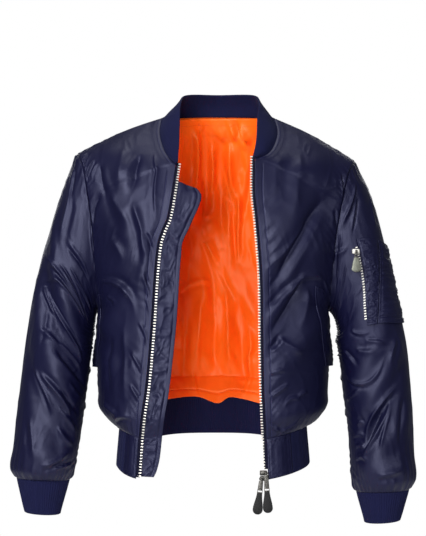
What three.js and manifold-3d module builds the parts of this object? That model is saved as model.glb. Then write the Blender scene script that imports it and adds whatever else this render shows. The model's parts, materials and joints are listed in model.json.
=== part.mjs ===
// A zip-fronted bomber jacket, filled out as if worn, with its front open.
// Millimetres, +Z up. The front faces -Y and the wearer's left is +X.
// The origin is between the shoulders at the base of the neck, where the wearer carries the jacket.
import * as THREE from 'three';
import { mergeVertices } from 'three/addons/utils/BufferGeometryUtils.js';
import Module from 'manifold-3d';

const wasm = await Module();
wasm.setup();

// Driving sizes
const SHELL_WALL = 2.4; // nylon with its thin wadding
const LINING_WALL = 1.2;
const RIB_WALL = 2.8;
const SEAM_INSET = 0.4; // each piece stops this far short of its seam line
const LAYER_GAP = 0.4; // between a piece and what lies on it
const HEM_RIB_HEIGHT = 70;
const LEFT_SHOULDER_DROP = 13; // the left shoulder and sleeve hang this much lower
const SIDE_SHIFT = -5; // the body below the shoulders stands this far over to its right
const SHOULDER_CROWN = 6; // rise of the shoulder line over a straight one

// Stations up a panel: 0 is the hem seam and 1 the shoulder seam
const ARMPIT = 0.42;
const ZIP_TOP = 0.76;
const PANEL_ROWS = [
  0, 0.015, 0.04, 0.08, 0.125, 0.18, 0.24, 0.3, 0.36, ARMPIT, 0.48, 0.54, 0.6, 0.66, 0.71,
  ZIP_TOP, 0.81, 0.86, 0.91, 0.955, 1,
];
const FRONT_COLUMNS = 8;
const BACK_NECK_COLUMNS = 8;

// Front edges: the zip line up to the neck, then the neckline up to the shoulder.
// x is the distance out from the middle of the jacket.
const FRONT_EDGE = {
  right: {
    zip: [
      { at: 0, x: 133, y: -143, z: -567 },
      { at: 0.06, x: 129, y: -150, z: -530 },
      { at: 0.15, x: 121, y: -146, z: -474 },
      { at: 0.3, x: 113, y: -140, z: -381 },
      { at: 0.45, x: 107, y: -136, z: -287 },
      { at: 0.54, x: 101, y: -134, z: -232 },
      { at: 0.575, x: 94, y: -133, z: -210 },
      { at: 0.61, x: 85, y: -132, z: -189 },
      { at: 0.68, x: 77, y: -124, z: -145 },
      { at: ZIP_TOP, x: 70, y: -104, z: -95 },
    ],
    neck: [
      { at: ZIP_TOP, x: 70, y: -104, z: -95 },
      { at: 0.82, x: 83, y: -92, z: -82 },
      { at: 0.88, x: 93, y: -70, z: -63 },
      { at: 0.94, x: 100, y: -36, z: -34 },
      { at: 1, x: 97, y: 0, z: -5 },
    ],
  },
  left: {
    zip: [
      { at: 0, x: 87, y: -122, z: -571 },
      { at: 0.06, x: 85, y: -131, z: -535 },
      { at: 0.15, x: 82.5, y: -133, z: -478 },
      { at: 0.3, x: 81, y: -133, z: -383 },
      { at: 0.45, x: 79.5, y: -133, z: -288 },
      { at: 0.6, x: 72.5, y: -131, z: -195 },
      { at: 0.68, x: 67.5, y: -122, z: -143 },
      { at: ZIP_TOP, x: 68, y: -104, z: -84 },
    ],
    neck: [
      { at: ZIP_TOP, x: 68, y: -104, z: -84 },
      { at: 0.82, x: 88, y: -93, z: -77 },
      { at: 0.88, x: 101, y: -72, z: -62 },
      { at: 0.94, x: 109, y: -38, z: -34 },
      { at: 1, x: 104, y: 0, z: -5 },
    ],
  },
};

// The side seam, from the hem seam to the armpit
const SIDE_SEAM = [
  { at: 0, x: 169, y: 25, z: -556 },
  { at: 0.02, x: 181, y: 25, z: -551 },
  { at: 0.055, x: 195, y: 25, z: -537 },
  { at: 0.11, x: 205, y: 23, z: -508 },
  { at: 0.2, x: 208, y: 20, z: -458 },
  { at: 0.31, x: 207, y: 12, z: -404 },
  { at: ARMPIT, x: 205, y: 4, z: -350 },
];

// The armhole, from the armpit to the shoulder point: forward and backward reach
const ARMHOLE = [
  { at: ARMPIT, x: 205, front: 4, back: 4, z: -350 },
  { at: 0.48, x: 206, front: -32, back: 38, z: -330 },
  { at: 0.56, x: 209, front: -54, back: 60, z: -280 },
  { at: 0.66, x: 214, front: -63, back: 69, z: -218 },
  { at: 0.76, x: 223, front: -60, back: 66, z: -156 },
  { at: 0.88, x: 234, front: -45, back: 50, z: -101 },
  { at: 0.95, x: 244, front: -26, back: 28, z: -80 },
  { at: 1, x: 250, front: 0, back: 0, z: -71 },
];

// How far each row of a panel has turned round to the side where it ends, in degrees
const TURN_AT_END = [
  { at: 0, turn: 90 },
  { at: ARMPIT, turn: 90 },
  { at: 0.56, turn: 72 },
  { at: 0.76, turn: 58 },
  { at: 1, turn: 50 },
];

// The middle of the back, from the hem seam to the neck seam
const BACK_MIDDLE = [
  { at: 0, x: 0, y: 112, z: -512 },
  { at: 0.03, x: 0, y: 124, z: -505 },
  { at: 0.08, x: 0, y: 134, z: -484 },
  { at: 0.18, x: 0, y: 136, z: -430 },
  { at: 0.35, x: 0, y: 130, z: -330 },
  { at: 0.56, x: 0, y: 138, z: -215 },
  { at: 0.76, x: 1, y: 138, z: -118 },
  { at: 0.9, x: 2, y: 116, z: -40 },
  { at: 1, x: 3, y: 92, z: 7 },
];

// The back neck seam, from the right shoulder to the left
const BACK_NECK = [
  { at: -1, x: -97, y: 0, z: -5 },
  { at: -0.66, x: -83, y: 47, z: 2 },
  { at: -0.33, x: -45, y: 80, z: 6 },
  { at: 0, x: 3, y: 92, z: 7 },
  { at: 0.33, x: 52, y: 80, z: 6 },
  { at: 0.66, x: 91, y: 47, z: 2 },
  { at: 1, x: 104, y: 0, z: -5 },
];

// The free edge of the collar, all round from the right zip end to the left one
const COLLAR_EDGE = [
  { at: 0, x: -66, y: -107, z: -90 },
  { at: 0.14, x: -65, y: -88, z: -52 },
  { at: 0.26, x: -65, y: -52, z: -8 },
  { at: 0.34, x: -64, y: -12, z: 22 },
  { at: 0.42, x: -54, y: 46, z: 41 },
  { at: 0.5, x: 4, y: 76, z: 44 },
  { at: 0.58, x: 68, y: 46, z: 41 },
  { at: 0.66, x: 78, y: -12, z: 22 },
  { at: 0.74, x: 74, y: -52, z: -8 },
  { at: 0.86, x: 71, y: -90, z: -48 },
  { at: 1, x: 64, y: -107, z: -79 },
];

// Sections down a sleeve: its outer and inner points, and the middle and half depth across it
const SLEEVE = [
  { at: 0, outX: 250, outZ: -71, inX: 205, inZ: -350, y: 3, depth: 65, leftX: 0, leftZ: 0 },
  { at: 0.06, outX: 257, outZ: -90, inX: 210, inZ: -355, y: 3, depth: 67, leftX: 2, leftZ: 0 },
  { at: 0.12, outX: 267, outZ: -114, inX: 214, inZ: -361, y: 3, depth: 69, leftX: 4, leftZ: 0 },
  { at: 0.2, outX: 280, outZ: -150, inX: 217, inZ: -370, y: 4, depth: 71, leftX: 4, leftZ: 0 },
  { at: 0.3, outX: 297, outZ: -202, inX: 219, inZ: -381, y: 5, depth: 73, leftX: 2, leftZ: 0 },
  { at: 0.4, outX: 313, outZ: -258, inX: 221, inZ: -394, y: 5, depth: 74, leftX: -2, leftZ: 0 },
  { at: 0.5, outX: 327, outZ: -322, inX: 223, inZ: -412, y: 4, depth: 73, leftX: -2, leftZ: 0 },
  { at: 0.6, outX: 340, outZ: -392, inX: 226, inZ: -438, y: 1, depth: 71, leftX: -1, leftZ: 0 },
  { at: 0.7, outX: 348, outZ: -462, inX: 232, inZ: -484, y: -5, depth: 68, leftX: -2, leftZ: 0 },
  { at: 0.8, outX: 355, outZ: -530, inX: 240, inZ: -540, y: -12, depth: 65, leftX: -4, leftZ: 0 },
  { at: 0.9, outX: 361, outZ: -595, inX: 249, inZ: -603, y: -19, depth: 62, leftX: -8, leftZ: -2 },
  { at: 0.96, outX: 365, outZ: -630, inX: 254, inZ: -637, y: -23, depth: 60, leftX: -10, leftZ: -5 },
  { at: 1, outX: 356, outZ: -648, inX: 261, inZ: -652, y: -25, depth: 46, leftX: -11, leftZ: -8 },
];
const CUFF_END = {
  outX: 341, outZ: -709, inX: 278, inZ: -713, y: -31, depth: 33, leftX: -13, leftZ: -2,
};
const SLEEVE_ROWS = [
  0, 0.03, 0.08, 0.14, 0.2, 0.25, 0.3, 0.345, 0.39, 0.435, 0.48, 0.525, 0.57,
  0.615, 0.66, 0.705, 0.75, 0.795, 0.84, 0.88, 0.915, 0.945, 0.975, 1,
];
const CAP_BLEND = 0.4; // how far down the sleeve keeps the armhole's own shape

// The storm flap behind the right zip: how far it reaches past the zip line.
// Below 0 the stations go down the hem band, to -1 at its foot.
const STORM_FLAP = [
  { at: -0.94, from: 0.8, reach: 30 },
  { at: -0.8, from: 0.8, reach: 34 },
  { at: -0.5, from: 0.8, reach: 38 },
  { at: 0.04, from: 0.8, reach: 40 },
  { at: 0.2, from: 0.8, reach: 42 },
  { at: 0.36, from: 0.8, reach: 44 },
  { at: 0.52, from: 0.8, reach: 43 },
  { at: 0.6, from: 0.8, reach: 41 },
  { at: 0.66, from: 0.8, reach: 50 },
  { at: 0.69, from: 0.8, reach: 51 },
  { at: 0.705, from: 0.8, reach: 42 },
];
const FLAP_ROWS = [
  -0.94, -0.8, -0.5, -0.2, 0, 0.015, 0.04, 0.08, 0.14, 0.22, 0.32, 0.42, 0.48, 0.54, 0.6,
  0.66, 0.69, 0.705,
];

// The slanted pocket flaps: inner and outer edge across the front, place up it, and lift
const POCKET_FLAP = {
  right: [
    { at: 0, inner: 0.83, outer: 0.92, up: 0.49, lift: 0 },
    { at: 0.2, inner: 0.76, outer: 0.94, up: 0.43, lift: 0 },
    { at: 0.4, inner: 0.71, outer: 0.96, up: 0.37, lift: 0.5 },
    { at: 0.6, inner: 0.75, outer: 0.97, up: 0.315, lift: 2 },
    { at: 0.8, inner: 0.8, outer: 0.97, up: 0.26, lift: 5 },
    { at: 1, inner: 0.84, outer: 0.95, up: 0.21, lift: 7 },
  ],
  left: [
    { at: 0, inner: 0.62, outer: 0.75, up: 0.5, lift: 0 },
    { at: 0.2, inner: 0.57, outer: 0.86, up: 0.44, lift: 0 },
    { at: 0.4, inner: 0.56, outer: 0.95, up: 0.385, lift: 0.5 },
    { at: 0.6, inner: 0.61, outer: 0.97, up: 0.325, lift: 1.5 },
    { at: 0.8, inner: 0.66, outer: 0.97, up: 0.265, lift: 4 },
    { at: 1, inner: 0.71, outer: 0.93, up: 0.215, lift: 5 },
  ],
};

// The pocket on the left sleeve, from its zip round to its far edge.
// Each line runs down the sleeve from a top to a foot: turn is the angle round the sleeve.
const SLEEVE_POCKET = [
  { at: 0, topTurn: 85, topAt: 0.155, footTurn: 97, footAt: 0.465 },
  { at: 0.4, topTurn: 45, topAt: 0.285, footTurn: 78, footAt: 0.495 },
  { at: 0.7, topTurn: 15, topAt: 0.345, footTurn: 35, footAt: 0.54 },
  { at: 1, topTurn: -20, topAt: 0.345, footTurn: -15, footAt: 0.55 },
];
const POCKET_WALL = 1.8;
const POCKET_LIFT = 1;
const FLAP_LIFT = { right: 1, left: 1.6 };

// Zips
const TAPE_WIDTH = 3.5;
const TAPE_WALL = 1.4;
const TEETH_WIDTH = 4.6;
const TEETH_WALL = 3;
const ZIP_FOOT = { right: -0.96, left: -0.74 }; // the left one ends above its two sliders
const SLIDER = { width: 13, height: 8.6, depth: 7 };
const EYE = { bar: 1.1, inside: 1.6, outside: 2.6, width: 4, standoff: 3.4 };
const FRONT_PULL = { linkWidth: 5, tab: 38, neck: 9, belly: 16.4, thick: 3.2 };
const SLEEVE_PULL = { link: 8, linkWidth: 5, tab: 26, neck: 9, belly: 16.4, thick: 2.4 };

// The largest folds. Each runs between two places on its panel and is a ridge, or a trough below 0.
// width and height are in millimetres. On a sleeve, u is the angle round it and v the way down it.
const FOLDS = {
  front_right: [
    { u1: 0.2, v1: 0.74, u2: 0.12, v2: 0.5, width: 13, height: 3.5 },
    { u1: 0.55, v1: 0.9, u2: 0.42, v2: 0.62, width: 30, height: 5 },
    { u1: 0.2, v1: 0.46, u2: 0.62, v2: 0.36, width: 20, height: 4 },
    { u1: 0.35, v1: 0.24, u2: 0.68, v2: 0.31, width: 18, height: -4 },
    { u1: 0.15, v1: 0.2, u2: 0.5, v2: 0.1, width: 20, height: 4 },
    { u1: 0.3, v1: 0.07, u2: 0.9, v2: 0.09, width: 16, height: 5 },
  ],
  front_left: [
    { u1: 0.5, v1: 0.86, u2: 0.2, v2: 0.56, width: 30, height: 4 },
    { u1: 0.75, v1: 0.72, u2: 0.12, v2: 0.42, width: 22, height: -6 },
    { u1: 0.62, v1: 0.6, u2: 0.2, v2: 0.5, width: 20, height: 4 },
    { u1: 0.5, v1: 0.48, u2: 0.1, v2: 0.28, width: 20, height: -5 },
    { u1: 0.55, v1: 0.36, u2: 0.15, v2: 0.2, width: 20, height: 5 },
    { u1: 0.2, v1: 0.07, u2: 0.85, v2: 0.09, width: 16, height: 5 },
  ],
  back: [
    { u1: -0.75, v1: 0.62, u2: -0.35, v2: 0.42, width: 26, height: 5 },
    { u1: 0.75, v1: 0.62, u2: 0.3, v2: 0.4, width: 26, height: 5 },
    { u1: -0.6, v1: 0.3, u2: 0.1, v2: 0.22, width: 22, height: -4 },
    { u1: 0.65, v1: 0.3, u2: 0.05, v2: 0.14, width: 22, height: 4 },
    { u1: -0.7, v1: 0.09, u2: 0.7, v2: 0.08, width: 18, height: 4 },
  ],
  sleeve_right: [
    { u1: 40, v1: 0.3, u2: 120, v2: 0.47, width: 20, height: 5 },
    { u1: 50, v1: 0.43, u2: 140, v2: 0.66, width: 17, height: -6 },
    { u1: 35, v1: 0.5, u2: 130, v2: 0.76, width: 17, height: 5 },
    { u1: 30, v1: 0.64, u2: 110, v2: 0.86, width: 16, height: -5 },
    { u1: 60, v1: 0.9, u2: 130, v2: 0.91, width: 14, height: 4 },
    { u1: -50, v1: 0.4, u2: -130, v2: 0.58, width: 20, height: -6 },
    { u1: -40, v1: 0.56, u2: -140, v2: 0.66, width: 18, height: 5 },
    { u1: -60, v1: 0.84, u2: -130, v2: 0.8, width: 18, height: 4 },
  ],
  sleeve_left: [
    { u1: 100, v1: 0.72, u2: 50, v2: 0.62, width: 17, height: 5 },
    { u1: 120, v1: 0.8, u2: 60, v2: 0.68, width: 17, height: -6 },
    { u1: 130, v1: 0.66, u2: 80, v2: 0.56, width: 16, height: 4 },
    { u1: 110, v1: 0.88, u2: 50, v2: 0.8, width: 16, height: 5 },
    { u1: 50, v1: 0.92, u2: 120, v2: 0.92, width: 14, height: 4 },
    { u1: -50, v1: 0.42, u2: -130, v2: 0.58, width: 20, height: -6 },
    { u1: -40, v1: 0.6, u2: -140, v2: 0.7, width: 18, height: 5 },
    { u1: -60, v1: 0.84, u2: -130, v2: 0.8, width: 18, height: 4 },
  ],
};
// What one step of u and of v measures on each kind of panel, in millimetres
const PANEL_SPAN = {
  front: { u: 190, v: 560 },
  back: { u: 270, v: 570 },
  sleeve: { u: 1.15, v: 470 },
};
const SEAM_CALM = { front: 0.14, back: 0.1, sleeve: 0 }; // folds die out this near to a side edge
const ROW_CALM = 0.07; // and this near to the top and foot
const RIB_PITCH = 9; // of the rib knit's ribs, which stand this proud:
const RIB_RISE = 0.8;
const PEN_RUCHES = 13;
const RUCHE_RISE = 1.6;

// A smooth curve through the rows of a table, read from one named column
function spline(rows, column, at) {
  const last = rows.length - 1;
  let k = 0;
  while (k < last - 1 && at > rows[k + 1].at) k += 1;
  const slope = (i) => {
    const before = rows[Math.max(i - 1, 0)];
    const after = rows[Math.min(i + 1, last)];
    return (after[column] - before[column]) / (after.at - before.at);
  };
  const from = rows[k];
  const to = rows[k + 1];
  const span = to.at - from.at;
  const t = (at - from.at) / span;
  const rise = t * t * (3 - 2 * t);
  const start = t * (1 - t) * (1 - t);
  const finish = t * t * (t - 1);
  const between = from[column] + (to[column] - from[column]) * rise;
  return between + span * (slope(k) * start + slope(k + 1) * finish);
}

const smooth = (t) => {
  const s = Math.min(Math.max(t, 0), 1);
  return s * s * (3 - 2 * s);
};
const point = (x, y, z) => new THREE.Vector3(x, y, z);
const sign = (side) => (side === 'left' ? 1 : -1);
const drop = (side) => (side === 'left' ? LEFT_SHOULDER_DROP : 0);
const span = (count, low = 0, high = 1) =>
  Array.from({ length: count + 1 }, (_, i) => low + ((high - low) * i) / count);

// How far the folds lift a place on a panel off its smooth form
function foldLift(name, u, v) {
  const kind = name.split('_')[0];
  const { u: wide, v: tall } = PANEL_SPAN[kind];
  let lift = 0;
  for (const { u1, v1, u2, v2, width, height } of FOLDS[name]) {
    const [runU, runV] = [(u2 - u1) * wide, (v2 - v1) * tall];
    const [fromU, fromV] = [(u - u1) * wide, (v - v1) * tall];
    const length = Math.hypot(runU, runV);
    const along = (fromU * runU + fromV * runV) / length;
    const aside = Math.abs(fromU * runV - fromV * runU) / length;
    const past = Math.max(-along, along - length, 0);
    const taper = Math.exp(-((past / 30) ** 2));
    lift += height * taper * Math.exp(-((aside / width) ** 2));
  }
  const near = kind === 'back' ? 1 - Math.abs(u) : Math.min(u, 1 - u);
  const calm = SEAM_CALM[kind] ? smooth(near / SEAM_CALM[kind]) : 1;
  return lift * calm * smooth(Math.min(v, 1 - v) / ROW_CALM);
}

// Seam lines
function frontEdge(side, v) {
  const rows = v <= ZIP_TOP ? FRONT_EDGE[side].zip : FRONT_EDGE[side].neck;
  return point(sign(side) * spline(rows, 'x', v), spline(rows, 'y', v), spline(rows, 'z', v));
}

function sideEdge(side, v, face) {
  const shift = SIDE_SHIFT * (1 - smooth((v - ARMPIT) / (1 - ARMPIT)));
  if (v <= ARMPIT) {
    return point(
      sign(side) * spline(SIDE_SEAM, 'x', v) + shift,
      spline(SIDE_SEAM, 'y', v),
      spline(SIDE_SEAM, 'z', v),
    );
  }
  const fall = drop(side) * smooth((v - ARMPIT) / (1 - ARMPIT));
  return point(
    sign(side) * spline(ARMHOLE, 'x', v) + shift,
    spline(ARMHOLE, face, v),
    spline(ARMHOLE, 'z', v) - fall,
  );
}

// One row of a panel, from its inner end to its outer end, turning round the body on the way
function turnedRow(inner, outer, u, v) {
  const turn = THREE.MathUtils.degToRad(spline(TURN_AT_END, 'turn', v));
  const across = Math.sin(u * turn) / Math.sin(turn);
  const back = (1 - Math.cos(u * turn)) / (1 - Math.cos(turn));
  const crown = SHOULDER_CROWN * Math.sin(Math.PI * across) * smooth((v - 0.6) / 0.4);
  const fall = inner.y > 0 ? across ** (4 - 2 * smooth(v / 0.5)) : across;
  return point(
    THREE.MathUtils.lerp(inner.x, outer.x, across),
    THREE.MathUtils.lerp(inner.y, outer.y, back),
    THREE.MathUtils.lerp(inner.z, outer.z, fall) + crown,
  );
}

// The front: u runs from its edge to the side, v from the hem seam to the shoulder
function frontPoint(side, u, v) {
  const turn = THREE.MathUtils.degToRad(u * spline(TURN_AT_END, 'turn', v));
  const out = point(sign(side) * Math.sin(turn), -Math.cos(turn), 0);
  const smoothPoint = turnedRow(frontEdge(side, v), sideEdge(side, v, 'front'), u, v);
  return smoothPoint.addScaledVector(out, foldLift(`front_${side}`, u, v));
}

// The back: u runs from -1 at the right side to 1 at the left
const NECK_SHARE = BACK_NECK_COLUMNS / (BACK_NECK_COLUMNS + 2 * FRONT_COLUMNS);

function backTop(u) {
  if (Math.abs(u) <= NECK_SHARE) {
    const at = u / NECK_SHARE;
    return point(...['x', 'y', 'z'].map((column) => spline(BACK_NECK, column, at)));
  }
  const side = u > 0 ? 'left' : 'right';
  return frontPoint(side, (Math.abs(u) - NECK_SHARE) / (1 - NECK_SHARE), 1);
}

function backRow(u, v) {
  const middle = point(...['x', 'y', 'z'].map((column) => spline(BACK_MIDDLE, column, v)));
  return turnedRow(middle, sideEdge(u > 0 ? 'left' : 'right', v, 'back'), Math.abs(u), v);
}

function backPoint(u, v) {
  const share = Math.max((v - 0.5) / 0.5, 0) ** 5;
  const turn = THREE.MathUtils.degToRad(u * spline(TURN_AT_END, 'turn', v));
  const row = backRow(u, v).add(backTop(u).sub(backRow(u, 1)).multiplyScalar(share));
  return row.addScaledVector(point(Math.sin(turn), Math.cos(turn), 0), foldLift('back', u, v));
}

// The hem band hangs from the hem seam and is a little wider at its foot
function hemBandPoint(seam, w) {
  return point(
    seam.x * (1 + 0.035 * w),
    seam.y * (1 + 0.03 * w),
    seam.z - HEM_RIB_HEIGHT * w,
  );
}

// The sleeve: angle 0 is its outer line, 90 its front and 180 its inner line, in degrees
function sleeveRing(section, side, angle) {
  const a = THREE.MathUtils.degToRad(angle);
  const reach = Math.cos(a);
  const x = (section.outX + section.inX) / 2 + ((section.outX - section.inX) / 2) * reach;
  const z = (section.outZ + section.inZ) / 2 + ((section.outZ - section.inZ) / 2) * reach;
  const [overX, overZ] = side === 'left' ? [section.leftX, section.leftZ - drop(side)] : [0, 0];
  return point(sign(side) * x + overX, section.y - section.depth * Math.sin(a), z + overZ);
}

function armholePoint(side, angle) {
  const v = 1 - (Math.abs(angle) / 180) * (1 - ARMPIT);
  return sideEdge(side, v, angle >= 0 ? 'front' : 'back');
}

function sleevePoint(side, t, angle) {
  const section = {};
  for (const column of ['outX', 'outZ', 'inX', 'inZ', 'y', 'depth', 'leftX', 'leftZ']) {
    section[column] = spline(SLEEVE, column, t);
  }
  const ring = sleeveRing(section, side, angle);
  const keep = (1 - smooth(t / CAP_BLEND)) ** 1.5;
  const own = armholePoint(side, angle).sub(sleeveRing(SLEEVE[0], side, angle));
  const a = THREE.MathUtils.degToRad(angle);
  const out = point(sign(side) * Math.cos(a) * 0.8, -Math.sin(a), Math.cos(a) * 0.2);
  ring.addScaledVector(out, foldLift(`sleeve_${side}`, angle, t));
  return ring.add(own.multiplyScalar(keep));
}

// Angles round the sleeve that match the rows of the panels at the armhole
const ARMHOLE_ROWS = PANEL_ROWS.filter((v) => v >= ARMPIT);
const HALF_ROUND = ARMHOLE_ROWS.map((v) => (180 * (1 - v)) / (1 - ARMPIT));
const SLEEVE_ANGLES = [...HALF_ROUND, ...HALF_ROUND.slice(1, -1).reverse().map((a) => -a)];

// A sheet is rows of outer points. round says that each row closes on itself.
const sheets = [];
function sheet(name, rows, wall, material, round = false) {
  const made = { name, rows, wall, material, round };
  sheets.push(made);
  return made;
}

function rowsOf(vs, us, at) {
  return vs.map((v) => us.map((u) => at(u, v)));
}

// A panel is a sheet whose rows and columns keep their places, so that others can lie on it
function panel(name, us, vs, at, wall, round = false) {
  const made = sheet(name, rowsOf(vs, us, at), wall, navyNylon, round);
  made.us = us;
  made.vs = vs;
  return made;
}

// Colours and finishes
const finish = (colour, roughness, metalness = 0) =>
  new THREE.MeshStandardMaterial({ color: colour, roughness, metalness });
const navyNylon = finish(0x191a38, 0.42);
const orangeNylon = finish(0xff5a12, 0.5);
const navyRib = finish(0x171833, 0.9);
const zipMetal = finish(0xc9c6be, 0.32, 1);
const darkMetal = finish(0x55554f, 0.35, 1);
const blackRubber = finish(0x242427, 0.6);

const FRONT_US = span(FRONT_COLUMNS);
const SIDES = ['right', 'left'];
const fronts = {};
for (const side of SIDES) {
  const at = (u, v) => frontPoint(side, u, v);
  fronts[side] = panel(`front_${side}`, FRONT_US, PANEL_ROWS, at, SHELL_WALL);
}

const BACK_US = [
  ...FRONT_US.map((u) => -(NECK_SHARE + (1 - NECK_SHARE) * u)).reverse(),
  ...span(BACK_NECK_COLUMNS, -NECK_SHARE, NECK_SHARE).slice(1, -1),
  ...FRONT_US.map((u) => NECK_SHARE + (1 - NECK_SHARE) * u),
];
const back = panel('back', BACK_US, PANEL_ROWS, backPoint, SHELL_WALL);

const sleeves = {};
for (const side of SIDES) {
  const at = (angle, t) => sleevePoint(side, t, angle);
  sleeves[side] = panel(`sleeve_${side}`, SLEEVE_ANGLES, SLEEVE_ROWS, at, SHELL_WALL, true);
  const cuff = rowsOf([0, 1], SLEEVE_ANGLES, (angle, w) =>
    sleevePoint(side, 1, angle).lerp(sleeveRing(CUFF_END, side, angle), w),
  );
  sheet(`cuff_${side}`, cuff, RIB_WALL, navyRib, true);
}

// Hem band
const HEM_END_COLUMNS = 3;
const hemRows = (points) => [0, 1].map((w) => points.map((p) => hemBandPoint(p, w)));
const hemEndSeam = {};
for (const side of SIDES) {
  const seam = FRONT_US.map((u) => frontPoint(side, u, 0));
  sheet(`hem_end_${side}`, hemRows(seam.slice(0, HEM_END_COLUMNS + 1)), SHELL_WALL, navyNylon);
  hemEndSeam[side] = seam.slice(HEM_END_COLUMNS);
}
const hemSeam = [
  ...hemEndSeam.right,
  ...BACK_US.slice(1, -1).map((u) => backPoint(u, 0)),
  ...[...hemEndSeam.left].reverse(),
];
sheet('hem_rib', hemRows(hemSeam), RIB_WALL, navyRib);

// Collar
const NECK_ROWS = PANEL_ROWS.filter((v) => v >= ZIP_TOP);
const collarSeam = [
  ...NECK_ROWS.map((v) => frontEdge('right', v)),
  ...span(BACK_NECK_COLUMNS, -NECK_SHARE, NECK_SHARE).slice(1, -1).map((u) => backPoint(u, 1)),
  ...[...NECK_ROWS].reverse().map((v) => frontEdge('left', v)),
];
const COLLAR_BULGE = 5;
const collarRows = [0, 0.45, 1].map((w) =>
  collarSeam.map((seam, i) => {
    const at = i / (collarSeam.length - 1);
    const edge = point(...['x', 'y', 'z'].map((column) => spline(COLLAR_EDGE, column, at)));
    const outward = point(seam.x - 4, seam.y, 0).normalize();
    return seam.clone().lerp(edge, w).addScaledVector(outward, COLLAR_BULGE * Math.sin(Math.PI * w));
  }),
);
sheet('collar', collarRows, RIB_WALL, navyRib);

// Normals of a sheet, from the faces round each point
function normalsOf({ rows, round }) {
  const height = rows.length;
  const width = rows[0].length;
  const normals = rows.map((row) => row.map(() => point(0, 0, 0)));
  const across = point(0, 0, 0);
  const up = point(0, 0, 0);
  for (let i = 0; i < height - 1; i += 1) {
    for (let j = 0; j < (round ? width : width - 1); j += 1) {
      const k = (j + 1) % width;
      across.subVectors(rows[i + 1][k], rows[i][j]);
      up.subVectors(rows[i + 1][j], rows[i][k]);
      const face = point(0, 0, 0).crossVectors(across, up);
      for (const [r, c] of [[i, j], [i, k], [i + 1, j], [i + 1, k]]) normals[r][c].add(face);
    }
  }
  return normals.map((row) => row.map((n) => n.normalize()));
}

function isEdge(made, i, j) {
  const ends = i === 0 || i === made.rows.length - 1;
  return ends || (!made.round && (j === 0 || j === made.rows[0].length - 1));
}

// A point well inside the body, to tell which way is out
function facesOut(made) {
  const middle = point(0, 0, 0);
  let count = 0;
  for (const row of made.rows) {
    for (const p of row) {
      middle.add(p);
      count += 1;
    }
  }
  return middle.divideScalar(count);
}

function outwardNormals(made) {
  const normals = normalsOf(made);
  const centre = made.round ? facesOut(made) : point(0, 0, -300);
  let score = 0;
  made.rows.forEach((row, i) =>
    row.forEach((p, j) => {
      score += normals[i][j].dot(point(p.x - centre.x, p.y - centre.y, 0));
    }),
  );
  if (score < 0) normals.forEach((row) => row.forEach((n) => n.negate()));
  return normals;
}

// The direction halfway between the two that differ the most
function halfway(normals) {
  let best = [normals[0], normals[0]];
  for (const a of normals) {
    for (const b of normals) {
      if (a.dot(b) < best[0].dot(best[1])) best = [a, b];
    }
  }
  return best[0].clone().add(best[1]).normalize();
}

// Pieces that meet at a seam share one normal there, so that their edges lie face to face
const SAME_POINT = 0.05;
function shareSeamNormals(list) {
  const edges = [];
  for (const made of list) {
    made.normals = outwardNormals(made);
    made.rows.forEach((row, i) =>
      row.forEach((p, j) => {
        if (isEdge(made, i, j)) edges.push({ p, made, i, j, own: made.normals[i][j].clone() });
      }),
    );
  }
  const zipTops = SIDES.map((side) => frontEdge(side, ZIP_TOP));
  for (const edge of edges) {
    let met = edges.filter((other) => other.p.distanceTo(edge.p) < SAME_POINT);
    if (zipTops.some((top) => top.distanceTo(edge.p) < SAME_POINT)) {
      met = met.filter((other) => other.made.name.startsWith('front'));
    }
    edge.made.normals[edge.i][edge.j] = halfway(met.map((other) => other.own));
  }
}

// Draws the edge of a sheet back from its seams
function insetEdges(made) {
  const { rows, round } = made;
  const height = rows.length;
  const width = rows[0].length;
  const moved = rows.map((row) => row.map((p) => p.clone()));
  const pull = (i, j, r, c) => {
    const step = rows[r][c].clone().sub(rows[i][j]).setLength(SEAM_INSET);
    moved[i][j].add(step);
  };
  for (let j = 0; j < width; j += 1) {
    pull(0, j, 1, j);
    pull(height - 1, j, height - 2, j);
  }
  for (let i = 0; i < height && !round; i += 1) {
    pull(i, 0, i, 1);
    pull(i, width - 1, i, width - 2);
  }
  made.rows = moved;
}

// A closed wall: outer points, inner points and the rims between them
function wallGeometry(made) {
  const { rows, normals, wall, round } = made;
  const height = rows.length;
  const width = rows[0].length;
  const positions = [];
  const raise = made.raise ?? (() => 0);
  for (const depth of [0, wall]) {
    rows.forEach((row, i) =>
      row.forEach((p, j) => {
        const off = depth === 0 ? raise(i, j) : -depth;
        const q = p.clone().addScaledVector(normals[i][j], off);
        positions.push(q.x, q.y, q.z);
      }),
    );
  }
  const inner = height * width;
  const index = [];
  const quad = (a, b, c, d) => index.push(a, b, c, a, c, d);
  const columns = round ? width : width - 1;
  for (let i = 0; i < height - 1; i += 1) {
    for (let j = 0; j < columns; j += 1) {
      const k = (j + 1) % width;
      const [a, b, c, d] = [i * width + j, i * width + k, (i + 1) * width + k, (i + 1) * width + j];
      quad(a, b, c, d);
      quad(inner + a, inner + d, inner + c, inner + b);
    }
  }
  for (let j = 0; j < columns; j += 1) {
    const k = (j + 1) % width;
    const top = (height - 1) * width;
    quad(j, inner + j, inner + k, k);
    quad(top + j, top + k, inner + top + k, inner + top + j);
  }
  for (let i = 0; i < height - 1 && !round; i += 1) {
    const low = i * width;
    const high = (i + 1) * width;
    const end = width - 1;
    quad(low, high, inner + high, inner + low);
    quad(low + end, inner + low + end, inner + high + end, high + end);
  }
  const geometry = new THREE.BufferGeometry();
  geometry.setAttribute('position', new THREE.Float32BufferAttribute(positions, 3));
  geometry.setIndex(volumeOf(positions, index) < 0 ? index.reverse() : index);
  geometry.computeVertexNormals();
  return geometry;
}

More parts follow.
